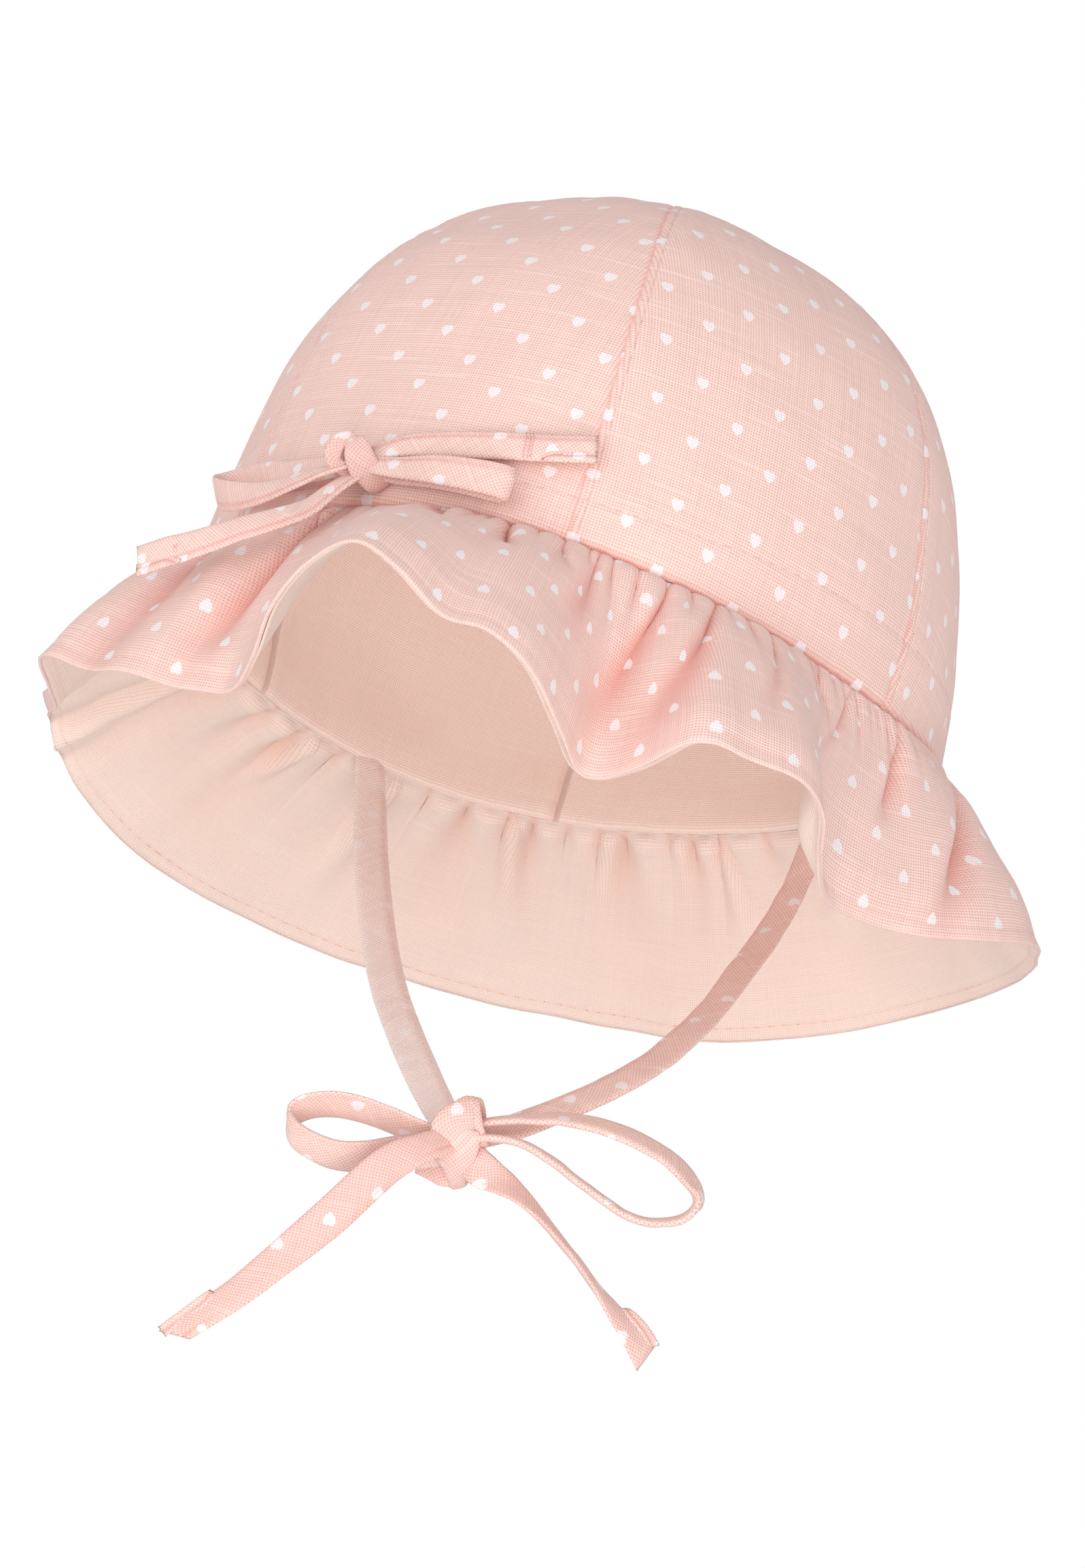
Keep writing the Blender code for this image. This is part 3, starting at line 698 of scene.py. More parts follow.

# %% [markdown]
# The grid of a panel is up to two millimetres wide in the middle and much finer beside the
# seams, where the cloth turns sharply. The band seam a centimetre above the rim holds the
# lining's edge, so the cloth below it is doubled and lies slightly higher. Where two pieces meet
# in a seam, light bounces between them and comes out a deeper pink, and the shader paints that
# into the groove as painted shade.

# %% Relief of the crown's cloth
TOPSTITCH, ALLOWANCE = 1.7, 6.5
SEAM_DEPTH, RIM_DEPTH = 0.55, 0.9
ALLOWANCE_RISE, BAND_RISE = 0.16, 0.12
STITCH_DIP, BAND_DIP = 0.20, 0.16
PUCKER, RIM_PUCKER = 0.30, 0.35
BIG_DENTS, SMALL_DENTS = 0.9, 0.35
BAND_LOW, BAND_RAISED = 8.6, 4.6


def band_height(angle):
    """How far above the rim seam the line of band stitches runs: higher on the right."""
    return BAND_LOW + BAND_RAISED * fade(angle, 2.0, 50.0) * (1.0 - fade(angle, 130.0, 180.0))


def crumple(angle, along, size, seed):
    """Soft dents of a given size all over the hat, from -1 to 1."""
    turn = math.radians(angle)
    spot = Vector((75.0 * math.sin(turn), -75.0 * math.cos(turn), along)) / size
    return noise.noise(spot + Vector((seed, 0.0, seed)))


def crown_relief(angle, along, beside, arc):
    """beside is the distance right of the panel's left seam, and arc the panel's width there."""
    near = min(beside, arc - beside)
    pressed = 1.0 - fade(beside, ALLOWANCE - 1.0, ALLOWANCE + 1.0)
    relief = -SEAM_DEPTH * bell(near, 0.38)
    relief += ALLOWANCE_RISE * pressed * fade(arc, 4.0, 16.0)
    relief -= STITCH_DIP * bell(beside - TOPSTITCH, 0.45)
    pucker = noise.noise(Vector((along / 3.4, angle // PANEL_ANGLE * 5.0, 0.0)))
    relief += PUCKER * pucker * math.exp(-near / 4.5)
    big, small = crumple(angle, along, 34.0, 1.0), crumple(angle, along, 13.0, 9.0)
    relief += BIG_DENTS * big + SMALL_DENTS * small
    band = band_height(angle)
    relief += BAND_RISE * (1.0 - fade(along, band - 0.5, band + 0.5))
    relief -= BAND_DIP * bell(along - band, 0.6)
    gathered = noise.noise(Vector((angle / 2.6, 0.0, 3.0)))
    relief += RIM_PUCKER * gathered * math.exp(-along / 5.0)
    # Painted shade: a deeper pink along the gore seams and the rim seam.
    fold = max(bell(near, 0.5), 0.9 * bell(along, 0.8))
    return relief - RIM_DEPTH * bell(along, 0.7), fold

# %% The six panels
LEFT_EDGE = (0.0, 0.3, 0.6, 1.0, 1.4, 1.7, 2.0, 2.4, 3.2, 4.2, 5.4, 6.2, 7.0, 8.0)
RIGHT_EDGE = (0.0, 0.3, 0.7, 1.3, 2.2, 3.4, 5.0)
MIDDLE_COLUMNS = 30
PANEL_COLUMNS = len(LEFT_EDGE) + MIDDLE_COLUMNS + len(RIGHT_EDGE) - 1
FULL_EDGES = 26.0
LOW_ROWS = [0.0, 0.25, 0.55, 0.9, 1.4, *(2.0 + 0.6 * step for step in range(22))]
HIGH_ROWS, TOP_SHARE = 72, 0.9985
CLOTH_INNER, CLOTH_OUTER = 0.45, 1.0
PANEL_NAMES = ("front_right", "side_right", "back_right", "back_left", "side_left", "front_left")
PANEL_GRAINS = (0.0, 8.0, -6.0, 5.0, -9.0, 4.0)


def panel_arc(along):
    return profile(along)[1] * math.radians(PANEL_ANGLE)


def panel_beside(column, arc):
    """How far right of the left seam a column of the panel's grid runs."""
    squeeze = min(arc / FULL_EDGES, 1.0)
    left, right = LEFT_EDGE[-1] * squeeze, arc - RIGHT_EDGE[-1] * squeeze
    if column < len(LEFT_EDGE):
        return LEFT_EDGE[column] * squeeze
    if column > PANEL_COLUMNS - len(RIGHT_EDGE):
        return arc - RIGHT_EDGE[PANEL_COLUMNS - column] * squeeze
    return left + (right - left) * (column - len(LEFT_EDGE) + 1) / (MIDDLE_COLUMNS + 1)


HIGH_STEP = (CLOTH_LENGTH * TOP_SHARE - LOW_ROWS[-1]) / HIGH_ROWS
panel_rows = [*LOW_ROWS, *(LOW_ROWS[-1] + HIGH_STEP * (step + 1) for step in range(HIGH_ROWS))]
crown_panels = []
for number, side in enumerate(PANEL_NAMES):
    grain = math.radians(PANEL_GRAINS[number])

    def place(column, row, number=number):
        along = panel_rows[row]
        arc = panel_arc(along)
        beside = panel_beside(column, arc)
        angle = PANEL_ANGLE * (number + beside / arc)
        relief, fold = crown_relief(half_turned(angle), along, beside, arc)
        return crown_point(angle, along, relief), fold

    def flat(column, row, number=number, grain=grain):
        along = panel_rows[row]
        aside = panel_beside(column, panel_arc(along)) - 0.5 * panel_arc(along)
        return (
            aside * math.cos(grain) - along * math.sin(grain) + 97.0 * number,
            aside * math.sin(grain) + along * math.cos(grain) + 41.0 * number,
        )

    name = "panel_cloth_" + side
    panel = cloth_piece(name, PANEL_COLUMNS, len(panel_rows) - 1, place, flat)
    give_wall(panel, CLOTH_INNER, CLOTH_OUTER)
    crown_panels.append(panel)
print("panels:", [panel.name for panel in crown_panels])

# %% [markdown]
# ## The crown's lining
# The lining is the same six gores in plain cotton, seen from below. It hangs a little looser
# than the outer cloth, so its folds are softer and longer. Its lower edge is turned under and
# laps over the rim seam, standing off the brim's lining by about a millimetre.

# %% The lining
LINING_INNER, LINING_OUTER = -1.2, -0.7
LINING_COLUMNS, LINING_STEPS = 300, 62
LINING_EDGE = (-1.7, -1.55, -1.2, -0.8, -0.2, 0.5, 1.3, 2.3, 3.4, 4.6, 6.0, 7.5)
LINING_STAND, EDGE_ROUNDING = 1.3, 0.9
lining_step = (CLOTH_LENGTH * TOP_SHARE - LINING_EDGE[-1]) / LINING_STEPS
lining_rows = [
    *LINING_EDGE, *(LINING_EDGE[-1] + lining_step * (step + 1) for step in range(LINING_STEPS))
]


def lining_relief(angle, along, near):
    """near is the distance to the nearest seam between two gores."""
    relief = 0.5 * bell(near, 0.5) - 0.15 * bell(near - 3.0, 1.5)
    pucker = noise.noise(Vector((along / 2.8, angle // PANEL_ANGLE * 5.0, 2.0)))
    relief += 0.35 * pucker * math.exp(-near / 2.5)
    relief += 1.1 * crumple(angle, along, 40.0, 4.0) + 0.4 * crumple(angle, along, 15.0, 6.0)
    gathered = noise.noise(Vector((angle / 3.1, 0.0, 8.0)))
    relief += 0.45 * gathered * math.exp(-max(along, 0.0) / 6.0)
    from_edge = min(along - LINING_EDGE[0], EDGE_ROUNDING) - EDGE_ROUNDING
    turned_under = LINING_STAND - 0.4 * from_edge**2
    return relief - turned_under * (1.0 - fade(along, 1.0, 24.0))


def lining_place(column, row):
    angle = 360.0 * column / LINING_COLUMNS % 360.0
    along = lining_rows[row]
    arc = panel_arc(along)
    beside = (angle % PANEL_ANGLE) / PANEL_ANGLE * arc
    near = min(beside, arc - beside)
    # The second value is painted shade along the lining's seams.
    return crown_point(angle, along, lining_relief(angle, along, near)), 0.4 * bell(near, 0.4)


def lining_flat(column, row):
    along = lining_rows[row]
    number, share = divmod(column * PANELS / LINING_COLUMNS, 1.0)
    return ((share - 0.5) * panel_arc(along) + 83.0 * number, along + 29.0 * number)


lining_steps = len(lining_rows) - 1
lining = cloth_piece(
    "crown_lining_cloth", LINING_COLUMNS, lining_steps, lining_place, lining_flat, closed=True
)
give_wall(lining, LINING_INNER, LINING_OUTER)
print("lining faces:", len(lining.data.polygons))

# %% [markdown]
# ## The ruffle
# The brim is a straight strip of cloth, half as long again as the rim, gathered onto the seam
# and left free at the hem. A table of the hem gives its big waves. The fine gathers at the
# seam are creases at uneven distances: the cloth puffs up between two of them, and each dies out
# at its own distance down the ruffle.

# %% The hem's waves
HEM = (
    # angle, radius, drop
    (-63.0, 107.0, 37.0),
    (-57.0, 102.0, 40.0),
    (-49.0, 96.5, 42.5),
    (-40.0, 91.0, 43.5),
    (-35.0, 93.0, 43.0),
    (-30.5, 99.0, 40.0),
    (-26.5, 108.0, 34.0),
    (-22.0, 114.5, 28.0),
    (-17.5, 117.0, 23.5),
    (-13.5, 115.5, 26.0),
    (-9.0, 111.0, 31.0),
    (-4.0, 109.0, 33.0),
    (1.0, 103.5, 38.5),
    (5.5, 94.0, 44.0),
    (9.0, 85.0, 47.0),
    (13.0, 85.0, 47.0),
    (16.5, 92.0, 45.0),
    (20.0, 101.0, 41.0),
    (26.0, 103.0, 40.0),
    (32.0, 104.0, 40.5),
    (37.0, 100.0, 43.0),
    (42.0, 91.5, 47.0),
    (48.5, 84.5, 50.0),
    (54.5, 83.0, 50.0),
    (61.0, 87.0, 49.0),
    (68.0, 96.0, 45.5),
    (74.0, 102.0, 41.5),
    (81.0, 106.5, 37.0),
    (92.0, 105.5, 33.0),
    (105.0, 107.0, 28.5),
    (118.0, 111.5, 24.0),
    (130.0, 112.0, 25.5),
    (142.0, 107.0, 31.0),
    (155.0, 103.0, 35.5),
    (168.0, 106.5, 34.0),
    (181.0, 110.0, 33.2),
    (195.0, 108.0, 34.2),
    (210.0, 109.0, 33.5),
    (225.0, 110.0, 32.0),
    (236.0, 111.0, 28.0),
    (243.0, 111.5, 23.5),
    (249.0, 110.0, 19.0),
    (258.0, 104.5, 20.0),
    (267.0, 100.5, 26.0),
    (275.0, 97.0, 33.5),
    (285.0, 96.5, 38.5),
    (291.0, 101.0, 38.0),
)
# The ruffle bulges between its seam and its hem, but hardly on the right.
BELLY, FLAT_BELLY, FLAT_ANGLE, FLAT_HALF = 3.0, 2.8, 100.0, 20.0
SEAM_DROP, SEAM_OUT = 1.3, 0.3
# One side of the front lobe curls back past its own hem, and shows its lining.
CURL_DEPTH, CURL_ANGLE, CURL_HALF = 6.2, 46.0, 6.5
hem_loop = (
    *((row[0] - 360.0, *row[1:]) for row in HEM[-3:]),
    *HEM,
    *((row[0] + 360.0, *row[1:]) for row in HEM[:3]),
)


class Brim:
    """The brim's shape at one angle: where its seam is, and how it runs out and falls."""

    def __init__(self, angle):
        turned_angle = (angle - HEM[0][0]) % 360.0 + HEM[0][0]
        turn = math.radians(angle)
        self.out = outward(angle)
        self.radius = (CROWN_PROFILE[0][1] + SEAM_OUT) * (1.0 - RIM_OVAL * math.sin(2 * turn))
        self.radius += rim_swell(angle)
        self.belly = BELLY - FLAT_BELLY * bell(angle - FLAT_ANGLE, FLAT_HALF)
        self.round = Vector((math.cos(turn), math.sin(turn), 0.0))
        self.curl = CURL_DEPTH * bell(angle - CURL_ANGLE, CURL_HALF)
        self.height = rim_height(angle) - SEAM_DROP
        self.run = smooth_value(hem_loop, 1, turned_angle) - self.radius
        self.fall = smooth_value(hem_loop, 2, turned_angle) + self.height
        self.slope = math.hypot(self.run, self.fall)
        up = Vector((0.0, 0.0, 1.0))
        self.normal = (self.out * self.fall + up * self.run) / self.slope
        self.down = (self.out * self.run - up * self.fall) / self.slope

    def point(self, share, relief):
        """A point at a share of the way to the hem, relief millimetres out of the surface."""
        spread = max(share, 0.0) ** 0.75
        swell = self.belly * 4 * spread * (1 - spread)
        seam = self.out * self.radius + Vector((0.0, 0.0, self.height))
        curl = self.curl * fade(share, 0.25, 0.65) * (1.0 - fade(share, 0.86, 1.0))
        across = self.normal * (swell + relief) - self.round * curl
        return seam + self.down * self.slope * share + across

# %% Creases of the gathers
BRIM_COLUMNS = 1080
COLUMN_ANGLE = 360.0 / BRIM_COLUMNS
STRONG_SHARE = 0.3
PINCH, PINCH_GAIN = 0.4, 0.4


def make_gathers(seed, narrow, wide, shallow, deep, short, long):
    """Creases round the seam as (angle, depth, reach), reach being a share of the width."""
    dice = random.Random(seed)
    places = [0.0]
    while places[-1] < 360.0 - wide:
        places.append(places[-1] + dice.uniform(narrow, wide))
    creases = []
    for place_at in places:
        strong = dice.random() < STRONG_SHARE
        depth = deep if strong else dice.uniform(shallow, deep * 0.7)
        reach = long * dice.uniform(0.6, 1.0) if strong else short * dice.uniform(0.6, 1.4)
        creases.append((round(place_at / COLUMN_ANGLE) * COLUMN_ANGLE, depth, reach))
    return creases + [(360.0, *creases[0][1:])]


def gather_relief(creases, angle, share, radius, softness):
    """The relief of the fine gathers, and how deep in one of their creases the point is, for painted shade."""
    angle %= 360.0
    number = max(bisect.bisect(creases, (angle,)) - 1, 0)
    number = min(number, len(creases) - 2)
    first, second = creases[number], creases[number + 1]
    width = math.radians(second[0] - first[0]) * radius
    across = (angle - first[0]) / (second[0] - first[0])
    inner = max(share, 0.0)
    depth, reach = (first[1] + second[1]) / 2, (first[2] + second[2]) / 2
    # Between two creases the cloth puffs up: steeply at the seam, and rounder further down.
    crisp = math.sqrt(max(1.0 - (2.0 * across - 1.0) ** 2, 0.0))
    rounded = 0.5 - 0.5 * math.cos(2 * math.pi * across)
    soft = min(fade(inner, 0.0, 0.12) + 0.5 * (softness - 1.0), 1.0)
    puff = crisp + (rounded - crisp) * soft - 0.35
    relief = 1.1 * depth * puff * fade(share, -0.02, 0.05) * math.exp(-inner / reach)
    pinch = PINCH + PINCH_GAIN * fade(share, 0.0, 0.035)
    spread = softness * (0.45 + 4.0 * inner)
    fold = 0.0
    for crease, distance in ((first, across * width), (second, (1.0 - across) * width)):
        fall_off = math.exp(-((inner / crease[2]) ** 1.3))
        relief -= pinch * crease[1] * bell(distance, spread) * fall_off
        fold = max(fold, bell(distance, spread) * fall_off * min(1.3 * crease[1], 1.0))
    return relief, fold

# %% [markdown]
# Some creases are so deep that they run on as valleys, slanting and widening towards the hem.
# They decide how the ruffle hangs, so the ones on the front are set one by one, and the rest
# follow each other at uneven distances round the sides and the back.

# %% Valleys of the ruffle
FRONT_VALLEYS = (
    # angle at the seam, drift to the hem, bend, depth, width at the seam, width gained, reach
    (-54.0, -2.0, 1.0, 1.7, 1.0, 5.0, 1.20),
    (-46.5, -1.0, 1.0, -1.3, 2.0, 4.0, 3.00),
    (-31.0, -14.0, 0.4, 3.6, 0.8, 4.6, 0.95),
    (-18.5, 8.0, 1.0, 4.2, 0.9, 4.2, 0.36),
    (-8.8, 8.0, 1.0, 4.0, 0.8, 3.8, 0.33),
    (-1.0, 10.0, 1.0, 1.0, 0.5, 3.0, 0.30),
    (5.3, -3.0, 1.0, 1.9, 0.6, 5.0, 0.60),
    (16.7, -9.0, 1.0, 2.7, 0.5, 5.0, 0.85),
    (23.7, -8.0, 1.0, 2.9, 0.5, 4.5, 0.95),
    (33.7, -7.0, 1.0, 1.2, 0.5, 3.5, 0.80),
    (42.3, 4.0, 1.0, 1.7, 0.5, 4.0, 0.35),
    (51.0, -16.0, 1.0, 1.3, 0.5, 4.0, 0.50),
    (63.4, -9.0, 1.0, 4.0, 0.6, 3.8, 0.55),
    (85.5, -18.8, 0.6, 5.8, 1.6, 2.8, 0.98),
    (243.5, -1.0, 1.0, -1.8, 2.5, 0.5, 3.00),
    (249.4, -2.5, 1.0, 4.4, 1.7, 0.5, 3.00),
    (254.0, 0.0, 1.0, 2.2, 5.0, 1.0, 3.00),
)
BACK_START, BACK_END, BACK_NARROW, BACK_WIDE = 101.0, 308.0, 13.0, 21.0
SIDE_START, SIDE_END = 235.0, 261.0
VALLEY_START, VALLEY_GROWN = 0.12, 0.13
HEM_RIPPLES = (
    # angle, height, half width in degrees
    (-52.0, 1.7, 3.5),
    (-45.5, -0.8, 2.5),
    (-66.0, -1.0, 4.0),
    (-7.5, -1.7, 4.0),
    (1.0, 1.4, 3.0),
)


def make_valleys(seed):
    """The valleys of the back, with a gap where the table has the left side's own."""
    dice = random.Random(seed)
    valleys, place_at = [], BACK_START
    while place_at < BACK_END:
        valleys.append((
            place_at, dice.uniform(-6.0, 6.0), 1.0, dice.uniform(1.2, 2.6), 0.5,
            dice.uniform(3.5, 6.0), dice.uniform(0.35, 0.85),
        ))
        place_at += dice.uniform(BACK_NARROW, BACK_WIDE)
    return [valley for valley in valleys if not SIDE_START < valley[0] < SIDE_END]


def valley_relief(valleys, angle, share, radius):
    """The relief of the valleys, and how deep in one of them the point is, for painted shade."""
    relief, fold = 0.0, 0.0
    inner = max(share, 0.0)
    grown = VALLEY_START + (1.0 - VALLEY_START) * fade(inner, 0.0, VALLEY_GROWN)
    for at, drift, bend, depth, narrow, widen, reach in valleys:
        distance = math.radians(half_turned(angle - at - drift * inner**bend)) * radius
        width = narrow + widen * inner
        if abs(distance) < 3.0 * width:
            strength = bell(distance, width) * (1.0 - fade(inner, 0.45 * reach, 1.15 * reach))
            relief -= depth * grown * strength
            fold = max(fold, strength * min(depth / 3.0, 0.9))
    return relief, fold


outer_creases = make_gathers(
    5, narrow=1.7, wide=4.6, shallow=0.55, deep=1.35, short=0.07, long=0.20
)
lining_creases = make_gathers(
    11, narrow=3.6, wide=11.0, shallow=0.8, deep=2.7, short=0.10, long=0.36
)
outer_valleys = [*FRONT_VALLEYS, *make_valleys(3)]
print("gathers outside:", len(outer_creases), "tucks inside:", len(lining_creases))

# %% The two layers of the ruffle
seam_shares = (-0.030, -0.012, 0.0, 0.010, 0.022, 0.036, 0.052, 0.070, 0.090, 0.112)
belly_shares = [0.138 + 0.0300 * step for step in range(25)]
hem_shares = (0.884, 0.904, 0.920, 0.930, 0.938, 0.946, 0.960, 0.980, 1.0)
BRIM_SHARES = (*seam_shares, *belly_shares, *hem_shares)
BRIM_ROWS = len(BRIM_SHARES) - 1
HEM_STITCH, HEM_DIP = 0.938, 0.08
HEM_SQUEEZE, SQUEEZE_START = 0.80, 0.80
SEAM_TUCK = 1.1
HEM_NOISE, BELLY_NOISE = 1.1, 0.5
LINING_HANG, LINING_HANG_REACH, LINING_SOFTNESS = 1.5, 0.30, 2.5
brim_angles = [COLUMN_ANGLE * column % 360.0 for column in range(BRIM_COLUMNS + 1)]
brim_sections = [Brim(COLUMN_ANGLE * column) for column in range(BRIM_COLUMNS)]
brim_sections.append(brim_sections[0])
BRIM_WIDTH = sum(section.slope for section in brim_sections[:-1]) / BRIM_COLUMNS


def brim_relief(column, share):
    """What both layers share: the valleys, and the small unevenness of a soft hem."""
    section, angle = brim_sections[column], brim_angles[column]
    radius = section.radius + section.run * share
    relief, fold = valley_relief(outer_valleys, angle, share, radius)
    turn = math.radians(angle)
    along_hem = Vector((7.0 * math.sin(turn), 7.0 * math.cos(turn), 2.0))
    relief += HEM_NOISE * noise.noise(along_hem) * fade(share, 0.3, 1.0)
    relief += BELLY_NOISE * crumple(angle, share * 60.0, 12.0, 1.0) * fade(share, 0.0, 0.15)
    for at, height, half in HEM_RIPPLES:
        relief += height * bell(half_turned(angle - at), half) * fade(share, 0.5, 1.0)
    return relief, fold


def brim_line(share, off):
    """The points of a line round the brim, off millimetres out of its surface."""
    return [
        section.point(share, brim_relief(column, share)[0] + off)
        for column, section in enumerate(brim_sections)
    ]


hem_run = lengths_along(brim_line(1.0, 0.0))
HEM_LENGTH = hem_run[-1]
print("hem is", round(HEM_LENGTH), "mm round")


def ruffle(name, creases, sign, seed):
    """One layer: sign is 1 for the outer cloth, and -1 for the lining, which puffs inward."""
    softness = 1.0 if sign > 0 else LINING_SOFTNESS

    def place(column, row):
        share = BRIM_SHARES[BRIM_ROWS - row]
        section = brim_sections[column]
        angle = brim_angles[column]
        gathers, fold = gather_relief(creases, angle, share, section.radius, softness)
        relief, valley = brim_relief(column, share)
        from_stitch = (share - HEM_STITCH) * BRIM_WIDTH
        if sign < 0:
            hang = LINING_HANG * math.exp(-max(share, 0.0) / LINING_HANG_REACH)
            gathers = (gathers + hang) * fade(share, 0.0, 0.07)
            fold, valley = 0.6 * fold, 0.0
        relief += sign * gathers
        relief -= sign * HEM_SQUEEZE * fade(share, SQUEEZE_START, 1.0)
        relief -= sign * HEM_DIP * bell(from_stitch, 0.6)
        relief -= SEAM_TUCK * (1.0 - fade(share, -0.03, 0.02)) * sign
        # The second value is painted shade: in the creases and valleys, and along the hem's stitch line.
        return section.point(share, relief), max(fold, 0.15 * bell(from_stitch, 0.4), valley)

    def flat(column, row):
        share = BRIM_SHARES[BRIM_ROWS - row]
        return (hem_run[column] + 11.0 * seed, share * BRIM_WIDTH + 7.0 * seed)

    return cloth_piece(name, BRIM_COLUMNS, BRIM_ROWS, place, flat, closed=True)


brim_cloth = give_wall(ruffle("ruffle_cloth", outer_creases, 1, 1.0), CLOTH_INNER, CLOTH_OUTER)
brim_lining = ruffle("ruffle_lining_cloth", lining_creases, -1, 5.0)
give_wall(brim_lining, LINING_INNER, LINING_OUTER)
print("ruffle is", round(BRIM_WIDTH), "mm wide and", round(HEM_LENGTH), "mm long")

# %% [markdown]
# ## The hem's edge
# The two layers are sewn with their right sides together and then turned. A millimetre of the
# printed cloth rolls round to the underside, and that roll is a thin closed tube along the hem.

# %% Roll the edge
ROLL_SIDES, ROLL_RADIUS, ROLL_FLATTENED, ROLL_SUNK = 8, 0.33, 0.7, 0.1


def roll_place(column, row):
    section = brim_sections[column]
    turn = 2 * math.pi * row / ROLL_SIDES
    middle = section.point(1.0, brim_relief(column, 1.0)[0] - ROLL_SUNK)
    uneven = 1.0 + 0.12 * noise.noise(Vector((column / 9.0 % 100.0, 0.0, 0.0)))
    around = section.normal * math.cos(turn) + section.down * math.sin(turn) * ROLL_FLATTENED
    return middle + around * ROLL_RADIUS * uneven, 0.0


def roll_flat(column, row):
    return (hem_run[column] + 11.0, row * 0.5 + 56.25)


hem_roll = cloth_piece(
    "hem_roll", BRIM_COLUMNS, ROLL_SIDES, roll_place, roll_flat, closed=True, tube=True
)
print("hem rolled with", len(hem_roll.data.polygons), "faces")

# %% [markdown]
# ## Stitches
# A stitch is a short fat ellipsoid of thread that lies in the dip of its seam. Each has only two
# dozen faces, because there are about fifteen hundred.

# %% Sew a line of stitches
def sew(name, spots, long, thick):
    """spots are (middle, direction, normal) in millimetres."""
    shape = bmesh.new()
    for middle, direction, normal in spots:
        line = direction.normalized()
        facing = (normal - line * normal.dot(line)).normalized()
        turned = Matrix((line, facing.cross(line), facing)).transposed().to_4x4()
        size = Matrix.Diagonal((long / 2 * MM, thick / 2 * MM, thick / 2 * MM, 1.0))
        placed = Matrix.Translation(middle * MM) @ turned @ size
        bmesh.ops.create_uvsphere(shape, u_segments=6, v_segments=4, radius=1.0, matrix=placed)
    for face in shape.faces:
        face.smooth = True
    return hat_piece(name, shape)


def spots_along(points, normals, pitch):
    """Evenly spaced stitches on a line of points."""
    run = lengths_along(points)
    spots = []
    for number in range(int(run[-1] / pitch)):
        distance = (number + 0.5) * pitch
        after, share = spot_on(run, distance)
        middle = points[after - 1].lerp(points[after], share)
        spots.append((middle, points[after] - points[after - 1], normals[after]))
    return spots

# %% Stitches of the hem and the seams
STITCH_PITCH, BAND_PITCH = 3.1, 3.2
SEAM_STEPS, BAND_STEPS = 120, 720
OVER_HEM, UNDER_HEM = 0.28, -0.49


def crown_stitch(angle, along, beside, sunk):
    """A spot on the crown's outer face, and the way that it faces."""
    relief = crown_relief(half_turned(angle), along, beside, panel_arc(along))[0]
    spot = crown_point(angle, along, relief + CLOTH_OUTER - sunk)
    return spot, spot - crown_point(angle, along, relief)


brim_normals = [section.normal for section in brim_sections]
over_spots = spots_along(brim_line(HEM_STITCH, OVER_HEM), brim_normals, STITCH_PITCH)
hem_stitches = sew("hem_stitches", over_spots, long=2.3, thick=0.26)
under_spots = spots_along(brim_line(HEM_STITCH, UNDER_HEM), brim_normals, STITCH_PITCH)
under_stitches = sew("hem_stitches_below", under_spots, long=2.0, thick=0.34)

seam_spots = []
for number in range(PANELS):
    line = []
    for step in range(SEAM_STEPS):
        along = 2.0 + (CLOTH_LENGTH - 10.0) * step / (SEAM_STEPS - 1)
        angle = PANEL_ANGLE * (number + TOPSTITCH / panel_arc(along))
        line.append(crown_stitch(angle, along, TOPSTITCH, 0.02))
    seam_spots += spots_along(*zip(*line), STITCH_PITCH)
seam_stitches = sew("seam_stitches", seam_spots, long=2.1, thick=0.40)

line = []
for step in range(BAND_STEPS):
    angle = 360.0 * step / BAND_STEPS - 180.0
    along = band_height(angle)
    beside = (angle % PANEL_ANGLE) / PANEL_ANGLE * panel_arc(along)
    line.append(crown_stitch(angle, along, beside, 0.04))
band_spots = spots_along(*zip(*line), BAND_PITCH)
band_stitches = sew("band_stitches", band_spots, long=2.1, thick=0.36)
print("stitches:", len(over_spots), "on the hem and", len(seam_spots), "on the gore seams")

# %% [markdown]
# ## The bow on the front
# The bow is the same strap, tied small and tacked down. Its knot sits just above the rim seam,
# to the left of the middle, and one of its tails hangs over the seam.

# %% Routes of the bow
BOW_LOOP_LEFT = strap_route((
    # x, y, z, slant, lean, width
    (-43.4, -68.8, 9.0, -82.0, 22.0, 4.2),
    (-47.6, -65.8, 8.2, -82.0, 20.0, 5.0),
    (-52.0, -61.2, 8.4, -80.0, 14.0, 5.6),
    (-57.5, -55.0, 8.6, -78.0, 10.0, 6.0),
    (-62.6, -49.2, 9.4, -74.0, 8.0, 6.2),
    (-67.6, -43.8, 9.2, -70.0, 6.0, 6.2),
    (-70.3, -43.2, 7.6, -68.0, 4.0, 6.2),
    (-71.0, -46.4, 5.2, -66.0, 4.0, 6.2),
    (-69.0, -51.0, 3.0, -68.0, 8.0, 6.2),
    (-65.8, -55.6, 1.6, -72.0, 16.0, 6.2),
    (-61.9, -59.9, 1.2, -72.0, 26.0, 6.0),
    (-57.2, -63.8, 2.2, -71.0, 36.0, 5.4),
    (-52.2, -67.2, 4.2, -71.0, 46.0, 5.0),
    (-49.0, -69.2, 5.6, -73.0, 52.0, 4.6),
    (-44.4, -71.2, 7.4, -74.0, 54.0, 4.0),
))
BOW_LOOP_RIGHT = strap_route((
    (-41.0, -69.4, 8.0, -84.0, 12.0, 4.0),
    (-35.6, -70.6, 7.9, -84.0, 10.0, 4.6),
    (-27.0, -74.4, 8.0, -84.0, 2.0, 5.8),
    (-19.4, -76.8, 7.7, -86.0, -3.0, 6.5),
    (-14.6, -77.9, 7.4, -90.0, -4.0, 6.9),
    (-12.7, -79.3, 7.3, -94.0, -5.0, 6.9),
    (-14.6, -80.7, 7.3, -93.0, -6.0, 6.9),
    (-19.8, -79.8, 7.6, -88.0, -6.0, 6.6),
    (-27.6, -77.4, 7.9, -85.0, 0.0, 6.0),
    (-35.8, -73.8, 7.8, -84.0, 12.0, 4.8),
    (-41.0, -71.4, 8.2, -84.0, 14.0, 4.0),
))
